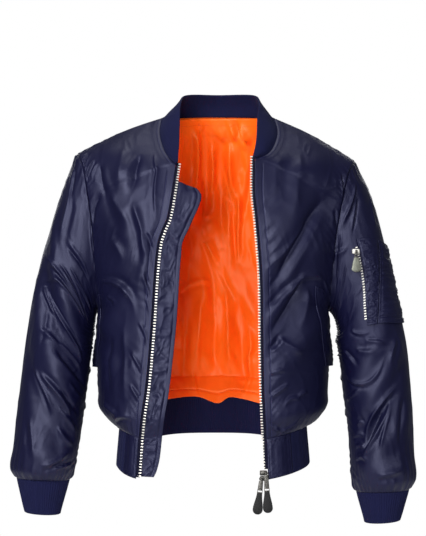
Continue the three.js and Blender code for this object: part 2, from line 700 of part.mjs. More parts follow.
function volumeOf(positions, index) {
  const at = (i) => point(...positions.slice(3 * i, 3 * i + 3));
  let volume = 0;
  for (let i = 0; i < index.length; i += 3) {
    volume += at(index[i]).dot(at(index[i + 1]).cross(at(index[i + 2])));
  }
  return volume;
}

// Divides the columns of a rib knit sheet into ribs, raised along its length over a plain inside
function cutRibs(made) {
  const middle = made.rows[Math.floor(made.rows.length / 2)];
  const width = middle.length;
  const parts = middle.map((p, j) => {
    const wide = p.distanceTo(middle[(j + 1) % width]);
    return 2 * Math.max(1, Math.round(wide / RIB_PITCH));
  });
  const divide = (row) => {
    const finer = [];
    row.forEach((p, j) => {
      const last = !made.round && j === width - 1;
      for (let k = 0; k < (last ? 1 : parts[j]); k += 1) {
        finer.push(p.clone().lerp(row[(j + 1) % width], k / parts[j]));
      }
    });
    return finer;
  };
  made.rows = made.rows.map(divide);
  made.normals = made.normals.map((row) => divide(row).map((n) => n.normalize()));
  made.raise = (i, j) => (j % 2 === 1 ? RIB_RISE : 0);
}

const jacket = new THREE.Group();
function add(name, geometry, material) {
  const mesh = new THREE.Mesh(geometry, material);
  mesh.name = name;
  jacket.add(mesh);
  return mesh;
}

shareSeamNormals(sheets);
for (const made of sheets) {
  insetEdges(made);
  if (made.material === navyRib) cutRibs(made);
  add(made.name, wallGeometry(made), made.material);
}

// A place on a panel between its own points, lifted off its face
function placeIn(list, value) {
  const falling = list[0] > list[list.length - 1];
  let k = 0;
  while (k < list.length - 2 && (falling ? value < list[k + 1] : value > list[k + 1])) k += 1;
  return [k, (value - list[k]) / (list[k + 1] - list[k])];
}

function onPanel(made, u, v, lift) {
  const [i, up] = placeIn(made.vs, v);
  const [j, across] = placeIn(made.us, u);
  const blend = (grid) => {
    const corner = up > across ? grid[i + 1][j] : grid[i][j + 1];
    const place = grid[i][j].clone().multiplyScalar(1 - Math.max(up, across));
    place.addScaledVector(corner, Math.abs(up - across));
    return place.addScaledVector(grid[i + 1][j + 1], Math.min(up, across));
  };
  const normal = blend(made.normals).normalize();
  return { p: blend(made.rows).addScaledVector(normal, lift), normal };
}

// A piece that lies on a panel: spots gives u, v and lift for each of its points
function layOn(name, made, spots, wall, material, raise) {
  const placed = spots.map((row) => row.map(([u, v, lift]) => onPanel(made, u, v, lift + wall)));
  const rows = placed.map((row) => row.map((spot) => spot.p));
  const normals = placed.map((row) => row.map((spot) => spot.normal));
  add(name, wallGeometry({ rows, normals, wall, round: false, raise }), material);
}

// A free strip or flap that is sewn to nothing's face
function loose(name, rows, wall, material) {
  const made = { name, rows, wall, round: false };
  made.normals = outwardNormals(made);
  add(name, wallGeometry(made), material);
}

// Lining of the back, hung inside it, with a hem that hangs over the rib band
const LINING_US = BACK_US.filter((u, j) => Math.abs(u) < 0.97 && j % 2 === 0);
const LINING_ROWS = [0.04, 0.08, 0.18, 0.3, ARMPIT, 0.54, 0.66, ZIP_TOP, 0.86, 0.91, 0.955];
const LINING_GAP = 4;
const LINING_DROP = 12; // how far the lining hangs below the hem seam
const liningRows = LINING_ROWS.map((v) =>
  LINING_US.map((u) => onPanel(back, u, v, -SHELL_WALL - LINING_GAP).p),
);
const seamInside = LINING_US.map((u) => onPanel(back, u, 0, 0).p);
const hang = (z) => seamInside.map((p) => point(p.x * 0.95, p.y * 0.95 - 3, p.z + z));
loose('back_lining', [hang(-LINING_DROP), hang(3), ...liningRows], LINING_WALL, orangeNylon);

// A place on a front's edge line: from the foot of the hem band, at -1, up the zip
function zipLine(side, at) {
  if (at < 0) return hemBandPoint(frontEdge(side, 0), -at);
  const [i, up] = placeIn(PANEL_ROWS, at);
  return frontEdge(side, PANEL_ROWS[i]).lerp(frontEdge(side, PANEL_ROWS[i + 1]), up);
}

// Moves a place on the zip line on past the edge of the front, towards the middle
function pastEdge(side, at, reach, back) {
  const up = zipLine(side, Math.min(at + 0.02, ZIP_TOP));
  const along = up.sub(zipLine(side, Math.min(at + 0.02, ZIP_TOP) - 0.03)).normalize();
  const inward = point(-sign(side), 0, 0);
  const across = inward.addScaledVector(along, -inward.dot(along)).normalize();
  const behind = point(0, 0, 0).crossVectors(across, along).normalize();
  if (behind.y < 0) behind.negate();
  return zipLine(side, at).addScaledVector(across, reach).addScaledVector(behind, back);
}

// Zips: a tape along each edge of the opening, and teeth along the tape
for (const side of SIDES) {
  const ups = [ZIP_FOOT[side], -0.5, ...PANEL_ROWS.filter((v) => v < ZIP_TOP), ZIP_TOP - 0.006];
  const strip = (from, width, back) =>
    ups.map((v) => [pastEdge(side, v, from, back), pastEdge(side, v, from + width, back)]);
  loose(`zip_tape_${side}`, strip(0.5, TAPE_WIDTH, 0.4), TAPE_WALL, navyNylon);
  loose(`zip_teeth_${side}`, strip(0.9 + TAPE_WIDTH, TEETH_WIDTH, -0.5), TEETH_WALL, zipMetal);
}

// Storm flap behind the right zip
const stormRows = FLAP_ROWS.map((v) => {
  const from = spline(STORM_FLAP, 'from', v);
  const reach = spline(STORM_FLAP, 'reach', v);
  return span(3, from, reach).map((x) => pastEdge('right', v, x, SHELL_WALL + 0.8 + 0.08 * (x - from)));
});
loose('storm_flap', stormRows, SHELL_WALL, navyNylon);

// Slanted pocket flaps on the fronts
for (const side of SIDES) {
  const spots = span(12).map((at) => {
    const [inner, outer, up, lift] = ['inner', 'outer', 'up', 'lift'].map((column) =>
      spline(POCKET_FLAP[side], column, at),
    );
    return span(5).map((s) => [inner + (outer - inner) * s, up, FLAP_LIFT[side] + lift * s * s]);
  });
  layOn(`pocket_flap_${side}`, fronts[side], spots, POCKET_WALL, navyNylon);
}

// Pocket on the left sleeve: the zipped part and the gathered part for pens
function pocketSpot(s, w, lift) {
  const [topTurn, topAt, footTurn, footAt] = ['topTurn', 'topAt', 'footTurn', 'footAt'].map(
    (column) => spline(SLEEVE_POCKET, column, s),
  );
  return [topTurn + (footTurn - topTurn) * w, topAt + (footAt - topAt) * w, lift];
}
function pocketSpots(from, to, columns, bulge, count = 10) {
  return span(count, -0.06, 1.04).map((w) =>
    span(columns, from, to).map((s) => {
      const round = Math.sin(Math.PI * Math.min(Math.max((s - from) / (to - from), 0), 1));
      return pocketSpot(s, w, POCKET_LIFT + bulge * round);
    }),
  );
}
layOn('sleeve_pocket', sleeves.left, pocketSpots(0.05, 0.4, 4, 0.8), POCKET_WALL, navyNylon);
const penSpots = pocketSpots(0.412, 1, 6, 1.5, 2 * PEN_RUCHES);
const ruche = (i, j) => (i % 2 === 1 && j > 0 && j < 6 ? RUCHE_RISE : 0);
layOn('pen_pocket', sleeves.left, penSpots, POCKET_WALL, navyNylon, ruche);
const sleeveZip = span(8).map((w) =>
  [-0.012, 0.035].map((s) => pocketSpot(s, 0.02 + 0.94 * w, POCKET_LIFT)),
);
layOn('sleeve_zip', sleeves.left, sleeveZip, 2.2, zipMetal);

// Hard pieces, made in a frame with x across, z up and the face towards -y
const { Manifold, CrossSection } = wasm;
const ROUND = 20;
const block = (x, y, z) => Manifold.cube([x, y, z], true);
const bar = (radius, length) =>
  Manifold.cylinder(length, radius, radius, ROUND, true).rotate([0, 90, 0]);

// A slider with a small bridge in front, whose bar carries the eye of a pull
function sliderSolid(eyeX) {
  const { width, height, depth } = SLIDER;
  const body = block(width, depth, height).add(block(width - 4, depth + 1.6, height - 3));
  const eyeY = -depth / 2 - 0.8 - EYE.standoff;
  const armX = EYE.width / 2 + 1.1;
  const arm = block(1.3, EYE.standoff + 1.5, 3.2);
  const armY = eyeY + EYE.standoff / 2;
  return body
    .add(arm.translate([eyeX - armX, armY, 0]))
    .add(arm.translate([eyeX + armX, armY, 0]))
    .add(bar(EYE.bar, 2 * armX).translate([eyeX, eyeY, 0]));
}

// The link of a pull, hanging from its eye at the frame's middle. Its lower end is a loop.
const LOOP = { wide: 1.6, tall: 8, deep: 8, rod: 1.6 };
function linkSolid(pull) {
  const eye = bar(EYE.outside, EYE.width).subtract(bar(EYE.inside, EYE.width + 2));
  const top = -EYE.inside - 0.3;
  const plate = block(pull.linkWidth, 1.6, pull.link).translate([0, 0, top - pull.link / 2]);
  const loopZ = top - pull.link - LOOP.tall / 2 + LOOP.rod;
  const loop = block(LOOP.wide, LOOP.deep, LOOP.tall)
    .subtract(block(LOOP.wide + 2, LOOP.deep - 2 * LOOP.rod, LOOP.tall - 2 * LOOP.rod))
    .translate([0, 0, loopZ]);
  return eye.add(plate).add(loop);
}

// The grip: a drop shape with a slot near its top for the loop
function tabSolid(pull) {
  const top = -EYE.inside - 0.3 - pull.link + LOOP.rod - LOOP.rod - 0.8;
  const half = (z) => {
    const t = z / pull.tab;
    const end = Math.sqrt(Math.max(1 - ((t - 0.78) / 0.22) ** 2, 0));
    const body = (pull.neck + (pull.belly - pull.neck) * smooth(t / 0.78)) / 2;
    return t > 0.78 ? (pull.belly / 2) * end : body;
  };
  const downs = [0, 0.6, 2, 5, 10, 16, 22, 0.78 * pull.tab, 0.86 * pull.tab, 0.93 * pull.tab];
  const levels = [...downs.filter((z) => z <= pull.tab), 0.975 * pull.tab, pull.tab];
  levels.sort((a, b) => a - b);
  const trim = (z) => (z < 0.3 ? 1.2 : 0);
  const right = levels.map((z) => [half(z) - trim(z), -z]);
  const left = levels.slice(0, -1).reverse().map((z) => [-half(z) + trim(z), -z]);
  const shape = new CrossSection([[...left, ...right].reverse()]);
  const slot = CrossSection.square([3.4, 4.4], true).translate([0, -4.6]);
  return Manifold.extrude(shape.subtract(slot), pull.thick)
    .translate([0, 0, -pull.thick / 2])
    .rotate([90, 0, 0])
    .translate([0, 0, top]);
}

function geometryOf(solid) {
  const made = solid.getMesh();
  const geometry = new THREE.BufferGeometry();
  const positions = new Float32Array(made.vertProperties);
  geometry.setAttribute('position', new THREE.BufferAttribute(positions, 3));
  geometry.setIndex(new THREE.BufferAttribute(new Uint32Array(made.triVerts), 1));
  const merged = mergeVertices(geometry, 1e-4);
  merged.computeVertexNormals();
  return merged;
}

function place(name, solid, at, turnAboutZ, lean, material) {
  const mesh = add(name, geometryOf(solid), material);
  mesh.position.copy(at);
  mesh.rotation.set(0, THREE.MathUtils.degToRad(lean), THREE.MathUtils.degToRad(turnAboutZ), 'ZYX');
  return mesh;
}

// Two sliders stand one over the other at the foot of the left zip, each with its own pull
const FRONT_SLIDERS = [
  { name: 'upper', below: 0.83, eyeX: 4.2, link: 28, lean: -3 },
  { name: 'lower', below: 0.965, eyeX: -4.2, link: 21, lean: 7 },
];
for (const { name, below, eyeX, link, lean } of FRONT_SLIDERS) {
  const middle = pastEdge('left', -below, 7.6, 1);
  place(`slider_${name}`, sliderSolid(eyeX), middle, 0, 0, zipMetal);
  const eye = middle.clone().add(point(eyeX, -SLIDER.depth / 2 - 0.8 - EYE.standoff, 0));
  const pull = { ...FRONT_PULL, link };
  place(`pull_link_${name}`, linkSolid(pull), eye, 0, lean, darkMetal);
  place(`pull_tab_${name}`, tabSolid(pull), eye, 0, lean, blackRubber);
}

// The sleeve pocket's slider stands at the top of its zip
const sleeveTop = onPanel(sleeves.left, ...pocketSpot(-0.02, 0.07, POCKET_LIFT + 3.6));
const face = sleeveTop.normal;
const faceTurn = THREE.MathUtils.radToDeg(Math.atan2(face.x, -face.y));
const faceOut = point(face.x, face.y, 0).normalize();
const sleeveSliderAt = sleeveTop.p.addScaledVector(faceOut, SLIDER.depth / 2);
place('sleeve_slider', sliderSolid(0), sleeveSliderAt, faceTurn, 0, zipMetal);
const sleeveEye = sleeveSliderAt.clone().addScaledVector(faceOut, SLIDER.depth / 2 + 0.8 + EYE.standoff);
place('sleeve_pull_link', linkSolid(SLEEVE_PULL), sleeveEye, faceTurn, 0, darkMetal);
place('sleeve_pull_tab', tabSolid(SLEEVE_PULL), sleeveEye, faceTurn, 0, finish(0x82877a, 0.4, 1));

export default jacket;
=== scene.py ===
import json
import math

import bpy
import numpy as np
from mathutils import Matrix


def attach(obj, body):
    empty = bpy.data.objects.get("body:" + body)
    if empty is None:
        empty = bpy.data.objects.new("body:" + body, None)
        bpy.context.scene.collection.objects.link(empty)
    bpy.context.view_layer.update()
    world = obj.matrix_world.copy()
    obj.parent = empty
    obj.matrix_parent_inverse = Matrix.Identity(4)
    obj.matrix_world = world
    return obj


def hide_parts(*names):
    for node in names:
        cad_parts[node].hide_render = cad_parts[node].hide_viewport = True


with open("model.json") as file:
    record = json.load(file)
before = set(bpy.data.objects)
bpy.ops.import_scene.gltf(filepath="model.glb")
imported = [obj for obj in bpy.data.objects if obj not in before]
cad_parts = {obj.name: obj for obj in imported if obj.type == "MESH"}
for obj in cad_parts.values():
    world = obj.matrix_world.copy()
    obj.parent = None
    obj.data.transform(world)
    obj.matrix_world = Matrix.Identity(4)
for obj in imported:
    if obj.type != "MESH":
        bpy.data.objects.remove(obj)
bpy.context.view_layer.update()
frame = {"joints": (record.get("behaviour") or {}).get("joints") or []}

# Sizes are in millimetres in one frame with the part, and become metres when a mesh is made.
HEM_RIB_HEIGHT = 70
LEFT_SHOULDER_DROP = 13
SIDE_SHIFT = -5
SHOULDER_CROWN = 6
ARMPIT = 0.42
ZIP_TOP = 0.76
NECK_SHARE = 8 / 24
CAP_BLEND = 0.4
NYLON_WALL = 1.6
SEAM_CALM = {"front": 0.14, "back": 0.1, "sleeve": 0}
ROW_CALM = 0.07
COLLAR_BULGE = 5
STORM_SET_BACK = 3.2
COLLAR_SIDE = {"left": 1, "right": -1}


def table(columns, *rows):
    """Named columns of numbers."""
    return {name: np.array([row[i] for row in rows], float) for i, name in enumerate(columns.split())}


FRONT_ZIP = {
    "right": table(
        "at x y z",
        (0, 133, -143, -567), (0.06, 129, -150, -530), (0.15, 121, -146, -474), (0.3, 113, -140, -381),
        (0.45, 107, -136, -287), (0.54, 101, -134, -232), (0.575, 94, -133, -210), (0.61, 85, -132, -189),
        (0.68, 77, -124, -145), (ZIP_TOP, 70, -104, -95),
    ),
    "left": table(
        "at x y z",
        (0, 87, -122, -571), (0.06, 85, -131, -535), (0.15, 82.5, -133, -478), (0.3, 81, -133, -383),
        (0.45, 79.5, -133, -288), (0.6, 72.5, -131, -195), (0.68, 67.5, -122, -143), (ZIP_TOP, 68, -104, -84),
    ),
}
FRONT_NECK = {
    "right": table(
        "at x y z",
        (ZIP_TOP, 70, -104, -95), (0.82, 83, -92, -82), (0.88, 93, -70, -63), (0.94, 100, -36, -34),
        (1, 97, 0, -5),
    ),
    "left": table(
        "at x y z",
        (ZIP_TOP, 68, -104, -84), (0.82, 88, -93, -77), (0.88, 101, -72, -62), (0.94, 109, -38, -34),
        (1, 104, 0, -5),
    ),
}
SIDE_SEAM = table(
    "at x y z",
    (0, 169, 25, -556), (0.02, 181, 25, -551), (0.055, 195, 25, -537), (0.11, 205, 23, -508),
    (0.2, 208, 20, -458), (0.31, 207, 12, -404), (ARMPIT, 205, 4, -350),
)
ARMHOLE = table(
    "at x front back z",
    (ARMPIT, 205, 4, 4, -350), (0.48, 206, -32, 38, -330), (0.56, 209, -54, 60, -280),
    (0.66, 214, -63, 69, -218), (0.76, 223, -60, 66, -156), (0.88, 234, -45, 50, -101),
    (0.95, 244, -26, 28, -80), (1, 250, 0, 0, -71),
)
TURN_AT_END = table("at turn", (0, 90), (ARMPIT, 90), (0.56, 72), (0.76, 58), (1, 50))
BACK_MIDDLE = table(
    "at x y z",
    (0, 0, 112, -512), (0.03, 0, 124, -505), (0.08, 0, 134, -484), (0.18, 0, 136, -430),
    (0.35, 0, 130, -330), (0.56, 0, 138, -215), (0.76, 1, 138, -118), (0.9, 2, 116, -40), (1, 3, 92, 7),
)
BACK_NECK = table(
    "at x y z",
    (-1, -97, 0, -5), (-0.66, -83, 47, 2), (-0.33, -45, 80, 6), (0, 3, 92, 7), (0.33, 52, 80, 6),
    (0.66, 91, 47, 2), (1, 104, 0, -5),
)
COLLAR_EDGE = table(
    "at x y z",
    (0, -66, -107, -90), (0.14, -65, -88, -52), (0.26, -65, -52, -8), (0.34, -64, -12, 22),
    (0.42, -54, 46, 41), (0.5, 4, 76, 44), (0.58, 68, 46, 41), (0.66, 78, -12, 22),
    (0.74, 74, -52, -8), (0.86, 71, -90, -48), (1, 64, -107, -79),
)
SLEEVE = table(
    "at outX outZ inX inZ y depth leftX leftZ",
    (0, 250, -71, 205, -350, 3, 65, 0, 0), (0.06, 257, -90, 210, -355, 3, 67, 2, 0),
    (0.12, 267, -114, 214, -361, 3, 69, 4, 0), (0.2, 280, -150, 217, -370, 4, 71, 4, 0),
    (0.3, 297, -202, 219, -381, 5, 73, 2, 0), (0.4, 313, -258, 221, -394, 5, 74, -2, 0),
    (0.5, 327, -322, 223, -412, 4, 73, -2, 0), (0.6, 340, -392, 226, -438, 1, 71, -1, 0),
    (0.7, 348, -462, 232, -484, -5, 68, -2, 0), (0.8, 355, -530, 240, -540, -12, 65, -4, 0),
    (0.9, 361, -595, 249, -603, -19, 62, -8, -2), (0.96, 365, -630, 254, -637, -23, 60, -10, -5),
    (1, 356, -648, 261, -652, -25, 46, -11, -8),
)
CUFF_END = {
    "outX": 341, "outZ": -709, "inX": 278, "inZ": -713, "y": -31, "depth": 33, "leftX": -13, "leftZ": -2,
}
STORM_FLAP = table(
    "at from reach",
    (-0.94, 0.8, 30), (-0.8, 0.8, 34), (-0.5, 0.8, 38), (0.04, 0.8, 40), (0.2, 0.8, 42), (0.36, 0.8, 44),
    (0.52, 0.8, 43), (0.6, 0.8, 41), (0.66, 0.8, 50), (0.69, 0.8, 51), (0.705, 0.8, 42),
)
POCKET_FLAP = {
    "right": table(
        "at inner outer up lift",
        (0, 0.83, 0.92, 0.49, 0), (0.2, 0.76, 0.94, 0.43, 0), (0.4, 0.71, 0.96, 0.37, 0.5),
        (0.6, 0.75, 0.97, 0.315, 2), (0.8, 0.8, 0.97, 0.26, 5), (1, 0.84, 0.95, 0.21, 7),
    ),
    "left": table(
        "at inner outer up lift",
        (0, 0.62, 0.75, 0.5, 0), (0.2, 0.57, 0.86, 0.44, 0), (0.4, 0.56, 0.95, 0.385, 0.5),
        (0.6, 0.61, 0.97, 0.325, 1.5), (0.8, 0.66, 0.97, 0.265, 4), (1, 0.71, 0.93, 0.215, 5),
    ),
}
SLEEVE_POCKET = table(
    "at topTurn topAt footTurn footAt",
    (0, 85, 0.155, 97, 0.465), (0.4, 45, 0.285, 78, 0.495), (0.7, 15, 0.345, 35, 0.54),
    (1, -20, 0.345, -15, 0.55),
)

# The largest folds, as in the part: a ridge, or a trough where height is below 0
BIG_FOLDS = {
    "front_right": (
        (0.2, 0.74, 0.12, 0.5, 13, 3.5), (0.55, 0.9, 0.42, 0.62, 30, 5), (0.2, 0.46, 0.62, 0.36, 20, 4),
        (0.35, 0.24, 0.68, 0.31, 18, -4), (0.15, 0.2, 0.5, 0.1, 20, 4), (0.3, 0.07, 0.9, 0.09, 16, 5),
    ),
    "front_left": (
        (0.5, 0.86, 0.2, 0.56, 30, 4), (0.75, 0.72, 0.12, 0.42, 22, -6), (0.62, 0.6, 0.2, 0.5, 20, 4),
        (0.5, 0.48, 0.1, 0.28, 20, -5), (0.55, 0.36, 0.15, 0.2, 20, 5), (0.2, 0.07, 0.85, 0.09, 16, 5),
    ),
    "back": (
        (-0.75, 0.62, -0.35, 0.42, 26, 5), (0.75, 0.62, 0.3, 0.4, 26, 5), (-0.6, 0.3, 0.1, 0.22, 22, -4),
        (0.65, 0.3, 0.05, 0.14, 22, 4), (-0.7, 0.09, 0.7, 0.08, 18, 4),
    ),
    "sleeve_right": (
        (40, 0.3, 120, 0.47, 20, 5), (50, 0.43, 140, 0.66, 17, -6), (35, 0.5, 130, 0.76, 17, 5),
        (30, 0.64, 110, 0.86, 16, -5), (60, 0.9, 130, 0.91, 14, 4), (-50, 0.4, -130, 0.58, 20, -6),
        (-40, 0.56, -140, 0.66, 18, 5), (-60, 0.84, -130, 0.8, 18, 4),
    ),
    "sleeve_left": (
        (100, 0.72, 50, 0.62, 17, 5), (120, 0.8, 60, 0.68, 17, -6), (130, 0.66, 80, 0.56, 16, 4),
        (110, 0.88, 50, 0.8, 16, 5), (50, 0.92, 120, 0.92, 14, 4), (-50, 0.42, -130, 0.58, 20, -6),
        (-40, 0.6, -140, 0.7, 18, 5), (-60, 0.84, -130, 0.8, 18, 4),
    ),
}
SPAN = {"front": (190, 560), "back": (270, 570), "sleeve": (1.15, 470), "lining": (270, 570)}

